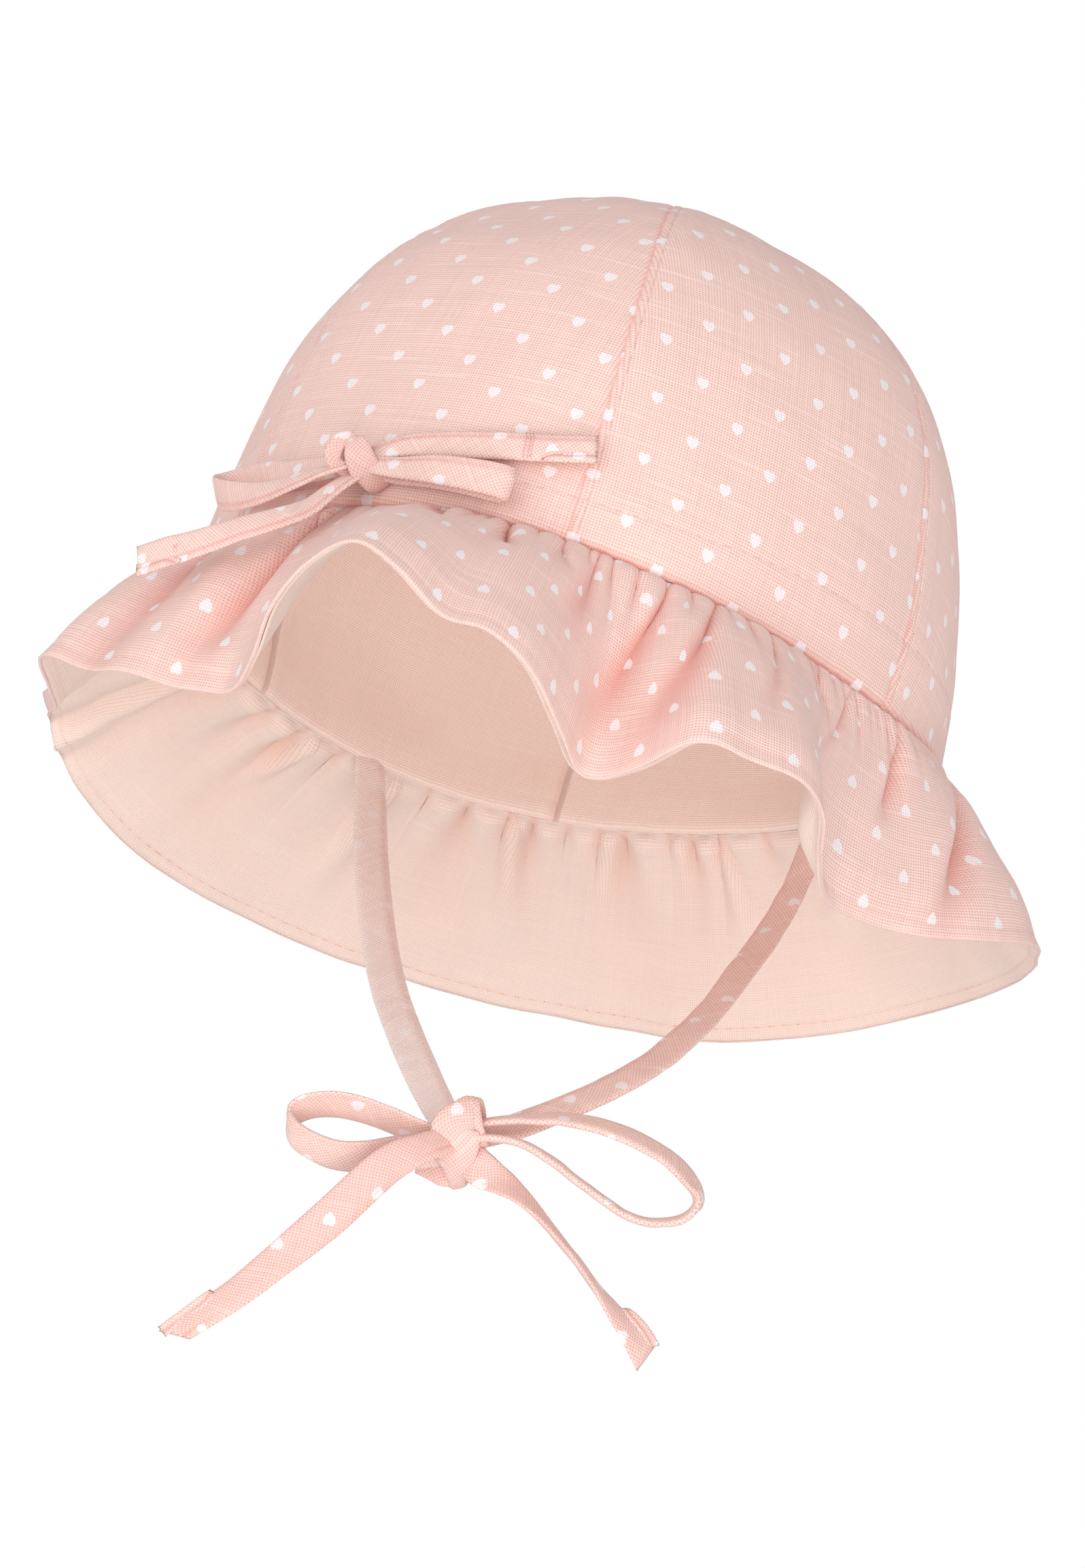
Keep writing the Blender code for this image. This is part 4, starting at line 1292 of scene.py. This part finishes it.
BOW_TAIL_LEFT = strap_route((
    (-42.6, -70.4, 6.0, -58.0, 48.0, 4.6),
    (-46.6, -70.6, 1.4, -58.0, 42.0, 5.4),
    (-50.0, -71.2, -3.4, -62.0, 36.0, 5.8),
    (-54.6, -71.6, -6.8, -65.0, 30.0, 6.0),
    (-61.8, -69.4, -10.2, -63.0, 22.0, 6.0),
    (-69.9, -65.0, -13.6, -61.0, 12.0, 6.0),
    (-75.8, -60.4, -15.0, -61.0, 5.0, 6.0),
    (-81.0, -55.4, -16.2, -66.0, 0.0, 6.0),
))
BOW_TAIL_RIGHT = strap_route((
    (-41.4, -70.0, 10.4, -70.0, 18.0, 3.8),
    (-36.0, -71.4, 13.2, -74.0, 14.0, 4.8),
    (-29.1, -73.2, 14.6, -76.0, 10.0, 5.6),
    (-21.6, -75.4, 15.5, -78.0, 8.0, 6.0),
    (-13.5, -77.3, 16.4, -80.0, 8.0, 6.1),
    (-5.6, -78.2, 17.6, -82.0, 8.0, 6.1),
    (1.6, -78.3, 19.2, -84.0, 8.0, 6.1),
))
BOW_STRAPS = (
    # piece, its route, stitched edge, seed, and for a tail: edge of its tuck, slant of its end
    ("bow_left_loop_cloth", BOW_LOOP_LEFT, 1, 8.1),
    ("bow_right_loop_cloth", BOW_LOOP_RIGHT, -1, 9.4),
    ("bow_left_tail_cloth", BOW_TAIL_LEFT, 1, 10.2, 1, 0.0),
    ("bow_right_tail_cloth", BOW_TAIL_RIGHT, -1, 11.7, 1, 0.0),
)
bow_straps = make_straps(BOW_STRAPS, BOW_THICK)
print("bow straps:", [strap.name for strap in bow_straps])

# %% [markdown]
# The seam of a strap shows on both of its faces. The tails are also tacked: a bar of three
# threads across the right one, and two short threads on the left one.

# %% Stitches of the straps
STRAP_PITCH = 2.6


def strap_seam(route, stitched_side, seed, thickness):
    """Stitches in the dip along the sewn edge, on both faces."""
    sections = strap_sections(route, STRAP_STEP)
    spots = []
    for face in (1, -1):
        line, normals = [], []
        for distance, middle, across, width, facing in sections:
            aside = (width / 2 - STITCH_INSET) * stitched_side
            height = strap_height(aside, width, thickness, stitched_side)[0] + 0.02
            lift = strap_lift(distance, aside, seed)
            line.append(middle + across * aside + facing * (face * height + lift))
            normals.append(facing * face)
        spots += spots_along(line, normals, STRAP_PITCH)
    return spots


def tack(route, from_end, threads, gap):
    """Threads straight across the face of a bow's tail that is seen."""
    sections = strap_sections(route, 0.2)
    spots = []
    for number in range(threads):
        distance = sections[-1][0] - from_end - gap * number
        _, middle, across, _, facing = min(sections, key=lambda row: abs(row[0] - distance))
        outward_face = facing * side_seen(facing)
        spots.append((middle + outward_face * 0.55 * BOW_THICK, across, outward_face))
    return spots


strap_threads = []
for rows, thickness in ((CHIN_STRAPS, TIE_THICK), (BOW_STRAPS, BOW_THICK)):
    for name, route, stitched_side, seed, *_ in rows:
        name = name.replace("_chin", "").replace("_cloth", "") + "_stitches"
        spots = strap_seam(route, stitched_side, seed, thickness)
        strap_threads.append(sew(name, spots, long=1.9, thick=0.26))
bar_threads = tack(BOW_TAIL_RIGHT, from_end=12.5, threads=3, gap=0.7)
bar_tack = sew("bow_bar_tack", bar_threads, long=6.4, thick=0.32)
small_threads = tack(BOW_TAIL_LEFT, from_end=10.5, threads=2, gap=0.6)
small_tack = sew("bow_small_tack", small_threads, long=1.8, thick=0.30)
print("stitches on", len(strap_threads), "straps")

# %% [markdown]
# ## The knots
# A knot is nothing but more strap. Its wraps are drawn as the camera sees them: their tables
# count sideways, upwards and towards the camera from the middle of the knot. The main wrap goes
# right round the ends that it holds, swelling where it lies on top of them.

# %% Wraps of the two knots
CHIN_WRAPS = (
    (
        # aside, up, towards, turn of the width, width
        (1.4, -5.0, -3.2, 0.0, 4.6),
        (2.2, 1.0, -4.4, 0.0, 6.0),
        (2.7, 6.2, -2.8, -6.0, 4.6),
        (2.6, 8.3, 0.4, -12.0, 3.4),
        (0.9, 6.5, 3.0, -16.0, 5.6),
        (-0.8, 3.4, 4.4, -12.0, 9.2),
        (-0.5, 0.0, 4.8, -6.0, 9.0),
        (-0.4, -3.2, 4.2, 6.0, 6.8),
        (-0.5, -5.8, 2.9, 14.0, 4.4),
        (-0.3, -8.0, 0.4, 12.0, 3.0),
        (0.2, -6.4, -2.8, 4.0, 4.0),
        (0.4, -1.0, -4.9, 0.0, 5.8),
    ),
    (
        (2.0, 7.6, -1.4, -20.0, 2.0),
        (2.7, 8.2, 0.9, -24.0, 2.2),
        (3.0, 6.0, 2.8, -14.0, 2.4),
        (3.3, 3.6, 3.8, -8.0, 2.6),
        (3.9, 1.4, 3.6, 4.0, 2.6),
        (4.3, -0.2, 2.2, 16.0, 2.2),
        (3.8, -0.8, 0.2, 20.0, 2.0),
    ),
    (
        (-8.6, -5.2, -1.6, 70.0, 1.2),
        (-6.0, -5.4, 0.2, 74.0, 3.0),
        (-3.6, -5.8, 1.2, 66.0, 4.4),
        (-1.6, -6.8, 1.2, 58.0, 3.4),
        (0.2, -7.8, -0.4, 50.0, 1.8),
    ),
)
BOW_WRAPS = (
    (
        (-1.0, -2.6, -2.6, 30.0, 3.6),
        (-2.2, 1.4, -3.0, 30.0, 4.4),
        (-2.2, 4.4, -1.2, 24.0, 4.2),
        (-1.5, 4.7, 0.8, 14.0, 4.4),
        (-0.9, 2.3, 2.6, 16.0, 5.6),
        (0.0, 0.0, 3.0, 30.0, 6.0),
        (1.5, -2.0, 2.5, 38.0, 5.4),
        (3.2, -3.6, 1.0, 34.0, 5.0),
        (3.0, -3.6, -1.4, 34.0, 3.6),
        (0.8, -1.0, -3.0, 34.0, 4.0),
    ),
    (
        (-1.4, 4.0, -1.4, 60.0, 1.8),
        (-2.6, 5.6, 0.0, 76.0, 2.4),
        (-4.4, 5.0, 1.2, 128.0, 3.0),
        (-5.7, 2.9, 1.6, 168.0, 3.4),
        (-5.6, 0.9, 1.2, 200.0, 3.2),
        (-3.6, -0.6, 0.6, 232.0, 3.0),
        (-1.2, -2.0, -0.6, 244.0, 2.4),
    ),
)


BOW_MIDDLE, CHIN_MIDDLE = (-42.0, -69.6, 8.2), (6.3, -28.8, -107.0)
# Painted shade: the knots' cloth is mixed evenly a little towards the deeper pink.
WRAP_THICK, KNOT_PAINTED_SHADE = 1.5, 0.15


def knot_piece(name, centre, wraps, seed):
    """All the wraps of a knot, joined into one piece."""
    parts = []
    for number, rows in enumerate(wraps):
        middles, widths = [], []
        for aside, up, towards, turn, width in rows:
            turn = math.radians(turn)
            middles.append(Vector(centre) + right * aside + top * up + away * towards)
            widths.append((right * math.cos(turn) + top * math.sin(turn)) * width)
        wrap = (f"{name}_{number}", (middles, widths), WRAP_THICK, 0, seed + number)
        parts.append(strap_piece(*wrap, painted_shade=KNOT_PAINTED_SHADE))
    return join_pieces(name, parts)


bow_knot = knot_piece("bow_knot_cloth", BOW_MIDDLE, BOW_WRAPS, 3.0)
chin_knot = knot_piece("chin_knot_cloth", CHIN_MIDDLE, CHIN_WRAPS, 5.0)
print("bow and knots tied")

# %% [markdown]
# ## Adding a node
# Every finish below is a small tree of shader nodes. One function adds a node, sets it up and
# links it: a value given for a socket is a constant, and another node's output is a link. It
# gives back the node's outputs, and most nodes here have one that matters.

# %% The node helper and colours
def new_material(name):
    """A material with its node tree and its shader."""
    material = bpy.data.materials.new(name)
    material.use_nodes = True
    return material, material.node_tree, material.node_tree.nodes["Principled BSDF"]


def add(tree, kind, sockets=None, **settings):
    node = tree.nodes.new("ShaderNode" + kind)
    for name, value in settings.items():
        setattr(node, name, value)
    for socket, value in (sockets or {}).items():
        if isinstance(value, bpy.types.NodeSocket):
            tree.links.new(value, node.inputs[socket])
        else:
            node.inputs[socket].default_value = value
    return node.outputs


def colour(code):
    """An sRGB hex colour as linear light."""
    parts = [int(code[i : i + 2], 16) / 255 for i in (1, 3, 5)]
    linear = [p / 12.92 if p <= 0.04045 else ((p + 0.055) / 1.055) ** 2.4 for p in parts]
    return (*linear, 1.0)

# %% [markdown]
# ## Plain weave
# Plain weave is the simplest cloth: each warp thread goes over one weft thread and under the
# next. The absolute value of a sine is one rounded thread, the product of the two sines tells
# which thread is on top, and the corners where both are low are the small holes between
# threads. Threads aren't even: long streaks along both ways and a few thick slubs give linen its
# grain. Light that bounces about in a fold comes out deeper in colour, and here that is painted
# shade: the fold mask mixes a deeper pink into the base colour. The real threads are
# probably half a millimetre apart, which hardly shows, so the printed cloth is drawn at 0.6 mm.

# %% Woven cloth
THREAD_WANDER = 0.4
OVER, HOLE_LOW, HOLE_HIGH = 0.6, 0.25, 0.95
STREAK, STREAK_LENGTH = 0.9, 0.03
SLUB_LOW, SLUB_HIGH, SLUB_HEIGHT = 0.66, 0.76, 1.5
FOLD_SHADE_MIX = 0.85
WEAVE_BUMP, WEAVE_HEIGHT = 0.55, 0.00014


def thread_height(tree, threads, pitch):
    """How high the upper thread lies, for cloth coordinates in millimetres."""
    turns = (math.pi / pitch, math.pi / pitch, 0.0)
    phase = add(tree, "VectorMath", {0: threads, 1: turns}, operation="MULTIPLY")[0]
    waves = add(tree, "SeparateXYZ", {0: phase})
    warp = add(tree, "Math", {0: waves[0]}, operation="SINE")[0]
    weft = add(tree, "Math", {0: waves[1]}, operation="SINE")[0]
    crossing = add(tree, "Math", {0: warp, 1: weft}, operation="MULTIPLY")[0]
    tops = []
    for thread, over in ((warp, OVER), (weft, -OVER)):
        rounded = add(tree, "Math", {0: thread}, operation="ABSOLUTE")[0]
        lifted = {0: crossing, 1: over, 2: rounded}
        tops.append(add(tree, "Math", lifted, operation="MULTIPLY_ADD")[0])
    return add(tree, "Math", {0: tops[0], 1: tops[1]}, operation="MAXIMUM")[0]


def thread_noise(tree, threads, stretch, detail):
    """Noise that is stretched along the threads of one direction."""
    way = add(tree, "VectorMath", {0: threads, 1: stretch}, operation="MULTIPLY")[0]
    return add(tree, "TexNoise", {"Vector": way, "Scale": 1.0, "Detail": detail})[0]


def woven(name, base, hole, deep, pitch, roughness, slub_strength, streaks):
    """A plain-woven cloth: deep is the painted shade colour mixed in inside a fold, and pitch its thread spacing."""
    material, tree, shader = new_material(name)
    cloth = add(tree, "UVMap", uv_map="weave")[0]
    wander = add(tree, "TexNoise", {"Vector": cloth, "Scale": 0.16, "Detail": 2.0})[1]
    centred = add(tree, "VectorMath", {0: wander, 1: (0.5, 0.5, 0.5)}, operation="SUBTRACT")[0]
    shake = {0: centred, 1: (THREAD_WANDER, THREAD_WANDER, 0.0), 2: cloth}
    threads = add(tree, "VectorMath", shake, operation="MULTIPLY_ADD")[0]
    height = thread_height(tree, threads, pitch)

    warp_tone = thread_noise(tree, threads, (STREAK / pitch, STREAK_LENGTH, 0.0), 1.0)
    weft_tone = thread_noise(tree, threads, (STREAK_LENGTH, STREAK / pitch, 7.0), 1.0)
    tone = add(tree, "Math", {0: warp_tone, 1: weft_tone}, operation="ADD")[0]
    slub_noise = thread_noise(tree, threads, (0.05, 1.1, 3.0), 0.0)
    rare = {"Value": slub_noise, "From Min": SLUB_LOW, "From Max": SLUB_HIGH, "To Max": slub_strength}
    slub = add(tree, "MapRange", rare)[0]
    low = {"Value": height, "From Min": HOLE_LOW, "From Max": HOLE_HIGH, "To Min": 1.0, "To Max": 0.0}
    holes = add(tree, "MapRange", low)[0]

    colours = {"Factor": holes, 6: colour(base), 7: colour(hole)}
    plain = add(tree, "Mix", colours, data_type="RGBA")[2]
    streak = {0: tone, 1: streaks, 2: 1.0 - streaks}
    light = add(tree, "Math", streak, operation="MULTIPLY_ADD")[0]
    shaded = add(tree, "VectorMath", {0: plain, "Scale": light}, operation="SCALE")[0]
    pale = {"Factor": slub, 6: shaded, 7: colour("#ffe9e2")}
    slubbed = add(tree, "Mix", pale, data_type="RGBA")[2]
    # Painted shade: the mask made with each piece mixes the deep colour into the base colour, in creases, seams and on
    # shaded straps.
    fold = add(tree, "Attribute", attribute_name="fold")[2]
    glow = add(tree, "Math", {0: fold, 1: FOLD_SHADE_MIX}, operation="MULTIPLY")[0]
    toned = add(tree, "Mix", {"Factor": glow, 6: slubbed, 7: colour(deep)}, data_type="RGBA")[2]
    thick = {0: slub, 1: SLUB_HEIGHT, 2: height}
    swelling = add(tree, "Math", thick, operation="MULTIPLY_ADD")[0]
    relief = {"Strength": WEAVE_BUMP, "Distance": WEAVE_HEIGHT, "Height": swelling}
    tree.links.new(add(tree, "Bump", relief)[0], shader.inputs["Normal"])
    tree.links.new(toned, shader.inputs["Base Color"])
    shader.inputs["Roughness"].default_value = roughness
    shader.inputs["Specular IOR Level"].default_value = 0.25
    shader.inputs["Sheen Weight"].default_value = 0.18
    shader.inputs["Sheen Roughness"].default_value = 0.5
    return material, cloth, toned

# %% [markdown]
# ## The printed hearts
# Small pale hearts are printed in columns 8.4 mm apart, 13.7 mm from each other in a column,
# and every other column is moved half a step. Inside one cell of that grid a heart is a circle
# whose height is lifted by the square root of the distance from its middle.

# %% Linen with its print
COLUMN_STEP, ROW_STEP, HEART_SIZE = 8.4, 13.7, 1.28
HEART_LIFT, HEART_EDGE, HEART_FADE = 0.55, 0.75, 1.1


def printed_linen(name, base, hole, deep, ink):
    """Linen with hearts; ink is how well they cover the cloth."""
    material, cloth, plain = woven(
        name, base, hole, deep, pitch=0.60, roughness=0.85, slub_strength=0.28, streaks=0.15
    )
    tree = material.node_tree
    steps = (1.0 / COLUMN_STEP, 1.0 / ROW_STEP, 0.0)
    cells = add(tree, "VectorMath", {0: cloth, 1: steps}, operation="MULTIPLY")[0]
    cell = add(tree, "SeparateXYZ", {0: cells})
    column_number = add(tree, "Math", {0: cell[0]}, operation="FLOOR")[0]
    half_column = add(tree, "Math", {0: column_number, 1: 0.5}, operation="MULTIPLY")[0]
    stagger = add(tree, "Math", {0: half_column}, operation="FRACT")[0]
    moved = add(tree, "Math", {0: cell[1], 1: stagger}, operation="ADD")[0]
    places = []
    for along_cell, step in ((cell[0], COLUMN_STEP), (moved, ROW_STEP)):
        share = add(tree, "Math", {0: along_cell}, operation="FRACT")[0]
        size = step / HEART_SIZE
        centred = {0: share, 1: size, 2: -0.5 * size}
        places.append(add(tree, "Math", centred, operation="MULTIPLY_ADD")[0])
    beside, above = places
    half_heart = add(tree, "Math", {0: beside}, operation="ABSOLUTE")[0]
    lobe = add(tree, "Math", {0: half_heart, 1: 0.5}, operation="POWER")[0]
    lift = {0: lobe, 1: -HEART_LIFT, 2: above}
    lifted = add(tree, "Math", lift, operation="MULTIPLY_ADD")[0]
    squared = add(tree, "Math", {0: lifted, 1: lifted}, operation="MULTIPLY")[0]
    ring = add(tree, "Math", {0: beside, 1: beside, 2: squared}, operation="MULTIPLY_ADD")[0]
    edge = {"Value": ring, "From Min": HEART_EDGE, "From Max": HEART_FADE}
    heart = add(tree, "MapRange", edge | {"To Min": ink, "To Max": 0.0})[0]
    inks = {"Factor": heart, 6: plain, 7: colour("#f6eeef")}
    printed = add(tree, "Mix", inks, data_type="RGBA")[2]
    tree.links.new(printed, tree.nodes["Principled BSDF"].inputs["Base Color"])
    return material


# The third colour is the painted shade colour that the fold mask mixes in.
linen = printed_linen("printed_linen", "#f7d5cc", "#dba699", "#e8968b", 0.86)
# The left tie, which lies in the hat's shade, takes a paler copy of the linen with a fainter print: painted light.
painted_light_linen = printed_linen("printed_linen_wrong_side", "#fbebe6", "#e6c4bb", "#dea59c", 0.70)
print("linen nodes:", len(linen.node_tree.nodes))

# %% [markdown]
# The lining is a finer, softer plain weave in pale peach, with hardly any slubs. The thread is
# spun polyester in the linen's pink: a fine twist that is only a shade darker than the cloth.

# %% Lining and thread
TWISTS = 900.0
cotton, _, _ = woven(
    "lining_cotton", "#f5ddd2", "#e4c2b3", "#eaab95",
    pitch=0.50, roughness=0.88, slub_strength=0.10, streaks=0.06,
)

thread, tree, shader = new_material("sewing_thread")
place_on = add(tree, "TexCoord")[3]
strands = {"Vector": place_on, "Scale": TWISTS, "Distortion": 1.5}
twist = add(tree, "TexWave", strands, bands_direction="DIAGONAL")[1]
plies = {"Factor": twist, 6: colour("#deaa9e"), 7: colour("#f5cfc6")}
tree.links.new(add(tree, "Mix", plies, data_type="RGBA")[2], shader.inputs["Base Color"])
shader.inputs["Roughness"].default_value = 0.6
shader.inputs["Sheen Weight"].default_value = 0.1
print("finishes:", [material.name for material in (linen, painted_light_linen, cotton, thread)])

# %% [markdown]
# ## Which piece stands for which solid
# Each new piece takes the place of the solid with the same job, wears its finish, and is
# declared for what it is: a cord for each hanging tie and tail, and a sheet for each cut cloth.

# %% Dress the pieces
tie_left, tie_right, loop_left, loop_right, tail_left, tail_right = chin_straps
stitches = (
    hem_stitches, under_stitches, seam_stitches, band_stitches,
    *strap_threads, bar_tack, small_tack,
)
printed = (*crown_panels, brim_cloth, hem_roll, *chin_straps[1:], *bow_straps, bow_knot, chin_knot)
finishes = (
    (printed, linen, "printed_cloth"),
    ((tie_left,), painted_light_linen, "printed_cloth"),
    ((lining, brim_lining), cotton, "lining_cloth"),
    (stitches, thread, "printed_cloth"),
)
for group, material, slot in finishes:
    for piece in group:
        piece.data.materials.append(material)
        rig.slot(piece, slot)

for side, panel in zip(PANEL_NAMES, crown_panels):
    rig.replaces(panel, "crown_panel_" + side)
stands_for = (
    (lining, "crown_lining"),
    (brim_cloth, "brim"),
    (brim_lining, "brim_lining"),
    *zip(bow_straps, ("bow_loop_left", "bow_loop_right", "bow_tail_left", "bow_tail_right")),
    (bow_knot, "bow_knot"),
    (chin_knot, "tie_knot"),
    (tie_left, "tie_left"),
    (tie_right, "tie_right"),
    (loop_left, "tie_loop_left"),
    (loop_right, "tie_loop_right"),
    (tail_left, "tie_tail_left"),
    (tail_right, "tie_tail_right"),
)
for piece, node in stands_for:
    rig.replaces(piece, node)
print("solids replaced:", len(crown_panels) + len(stands_for))

STRAP_WIDTH = 7.2
WIDEST_ALONG, ARC_SAMPLES = 12.0, 50
cords = (
    (tie_left, TIE_LEFT, "knot", [chin_knot, loop_left, strap_threads[0], strap_threads[2]]),
    (tie_right, TIE_RIGHT, "knot", [loop_right, strap_threads[1], strap_threads[3]]),
    (tail_left, TIE_TAIL_LEFT, "bare", [strap_threads[4]]),
    (tail_right, TIE_TAIL_RIGHT, "bare", [strap_threads[5]]),
)
for piece, rows, far_end, carried in cords:
    route = middle_line(rows)
    length = lengths_along(route)[-1]
    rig.cord(
        piece,
        exit=route[0],
        length=length,
        diameter=STRAP_WIDTH * MM,
        far_end=far_end,
        stiffness="limp",
        lay="hanging",
        with_pieces=carried,
        path=route,
    )
    print(piece.name, round(length / MM), "mm")

panel_wide, panel_long = panel_arc(WIDEST_ALONG) * MM, CLOTH_LENGTH * MM
arcs = [panel_arc(CLOTH_LENGTH * (i + 0.5) / ARC_SAMPLES) for i in range(ARC_SAMPLES)]
panel_area = sum(arcs) / ARC_SAMPLES * CLOTH_LENGTH * MM * MM
for panel in crown_panels:
    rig.sheet(panel, flat=(panel_wide, panel_long), held="stretched", area=panel_area)
whole = (panel_wide * PANELS, panel_long)
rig.sheet(lining, flat=whole, held="stretched", area=panel_area * PANELS)
cut = (HEM_LENGTH * MM, BRIM_WIDTH * MM)
for piece, carried in ((brim_cloth, [hem_roll, hem_stitches]), (brim_lining, [under_stitches])):
    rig.sheet(piece, flat=cut, held="gathered", with_pieces=carried)
print("ruffle cut:", round(HEM_LENGTH), "by", round(BRIM_WIDTH), "mm")

# %% [markdown]
# ## Light and floor
# The soft light of a product picture comes from large lamps. The strongest is below the camera
# and lights the inside of the hat. Weaker ones stand left, right and above, and shape the folds.
# A pale sky fills the rest, and it gets dimmer overhead, so that the top of the crown isn't
# washed out. Thin cloth lets some light through, and a very weak lamp inside the crown stands
# for that. Seen directly, the sky is white. The floor is plain, and far enough down that the hat
# seems to be held up in the air.

# %% The floor
FLOOR_HALF, FLOOR_HEIGHT = 4.0, -1.8
shape = bmesh.new()
bmesh.ops.create_grid(shape, x_segments=1, y_segments=1, size=FLOOR_HALF)
bmesh.ops.translate(shape, vec=(0.0, 0.0, FLOOR_HEIGHT), verts=shape.verts)
floor_mesh = bpy.data.meshes.new("studio_floor")
shape.to_mesh(floor_mesh)
shape.free()
floor = bpy.data.objects.new("studio_floor", floor_mesh)
bpy.context.scene.collection.objects.link(floor)
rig.stage(floor)
# Matt emulsion paint, which scatters light evenly and is never quite one shade.
floor_paint, tree, shader = new_material("matt_white_paint")
spot = add(tree, "TexCoord")[3]
cloudy = add(tree, "TexNoise", {"Vector": spot, "Scale": 3.0, "Detail": 4.0})[0]
shades = {"Factor": cloudy, 6: colour("#f4f3f2"), 7: colour("#fafafa")}
tree.links.new(add(tree, "Mix", shades, data_type="RGBA")[2], shader.inputs["Base Color"])
shader.inputs["Roughness"].default_value = 0.9
floor.data.materials.append(floor_paint)
print("floor at", FLOOR_HEIGHT, "m")

# %% The light
WHITE = (1.0, 1.0, 1.0, 1.0)
SKY_LEVEL, SKY_OVERHEAD = 0.82, 0.48
LAMP_DISTANCE, LAMP_SIZE = 1.4, 0.9
GLOW_SIZE, GLOW_ENERGY, GLOW_PLACE = 0.03, 0.018, (0.0, -0.012, 0.016)

world = bpy.data.worlds.new("pale_studio")
bpy.context.scene.world = world
world.use_nodes = True
tree = world.node_tree
seen_directly = add(tree, "LightPath")[0]
height_seen = add(tree, "SeparateXYZ", {0: add(tree, "TexCoord")[0]})[2]
sky = {"Value": height_seen, "To Min": SKY_LEVEL, "To Max": SKY_OVERHEAD}
dimming = add(tree, "MapRange", sky)[0]
fill = add(tree, "Background", {"Color": WHITE, "Strength": dimming})[0]
white = add(tree, "Background", {"Color": WHITE, "Strength": 1.0})[0]
both = add(tree, "MixShader", {0: seen_directly, 1: fill, 2: white})[0]
tree.links.new(both, tree.nodes["World Output"].inputs["Surface"])


def lamp(name, direction, brightness):
    """brightness is about how bright the lamp alone makes a white card that faces it."""
    place_at = direction * LAMP_DISTANCE
    light = bpy.data.lights.new(name, "AREA")
    light.size = LAMP_SIZE
    light.energy = brightness * (math.pi * place_at.length) ** 2
    holder = bpy.data.objects.new(name, light)
    bpy.context.scene.collection.objects.link(holder)
    facing = place_at.to_track_quat("Z", "Y").to_matrix().to_4x4()
    holder.matrix_world = Matrix.Translation(place_at) @ facing


lamp("low_lamp", away * 0.92 - top * 0.39, 0.49)
lamp("high_lamp", away * 0.48 + top * 0.88, 0.09)
lamp("left_lamp", away * 0.72 - right * 0.66 + top * 0.20, 0.22)
lamp("right_lamp", away * 0.72 + right * 0.66 + top * 0.20, 0.08)
glow = bpy.data.lights.new("light_through_cloth", "POINT")
glow.shadow_soft_size = GLOW_SIZE
glow.energy = GLOW_ENERGY
glow_holder = bpy.data.objects.new("light_through_cloth", glow)
glow_holder.location = GLOW_PLACE
glow_holder.visible_camera = False
bpy.context.scene.collection.objects.link(glow_holder)
bpy.context.scene.view_settings.view_transform = "Standard"
print("lamps:", len(bpy.data.lights))

# %% [markdown]
# ## Compare the size and finish
# The cloth may stand a little proud of the solids, and no more. The two boxes are written down
# so that they can be compared.

# %% Write the boxes and finish
seen_low, seen_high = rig.bounds()
boxes = {
    "cad": [list(cad_low), list(cad_high)],
    "visual": [list(seen_low), list(seen_high)],
}
with open("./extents.json", "w") as file:
    json.dump(boxes, file)
smaller = [round((b - a) / MM, 1) for a, b in zip(seen_high - seen_low, cad_high - cad_low)]
print("smaller than the solids' box by, in mm:", smaller)
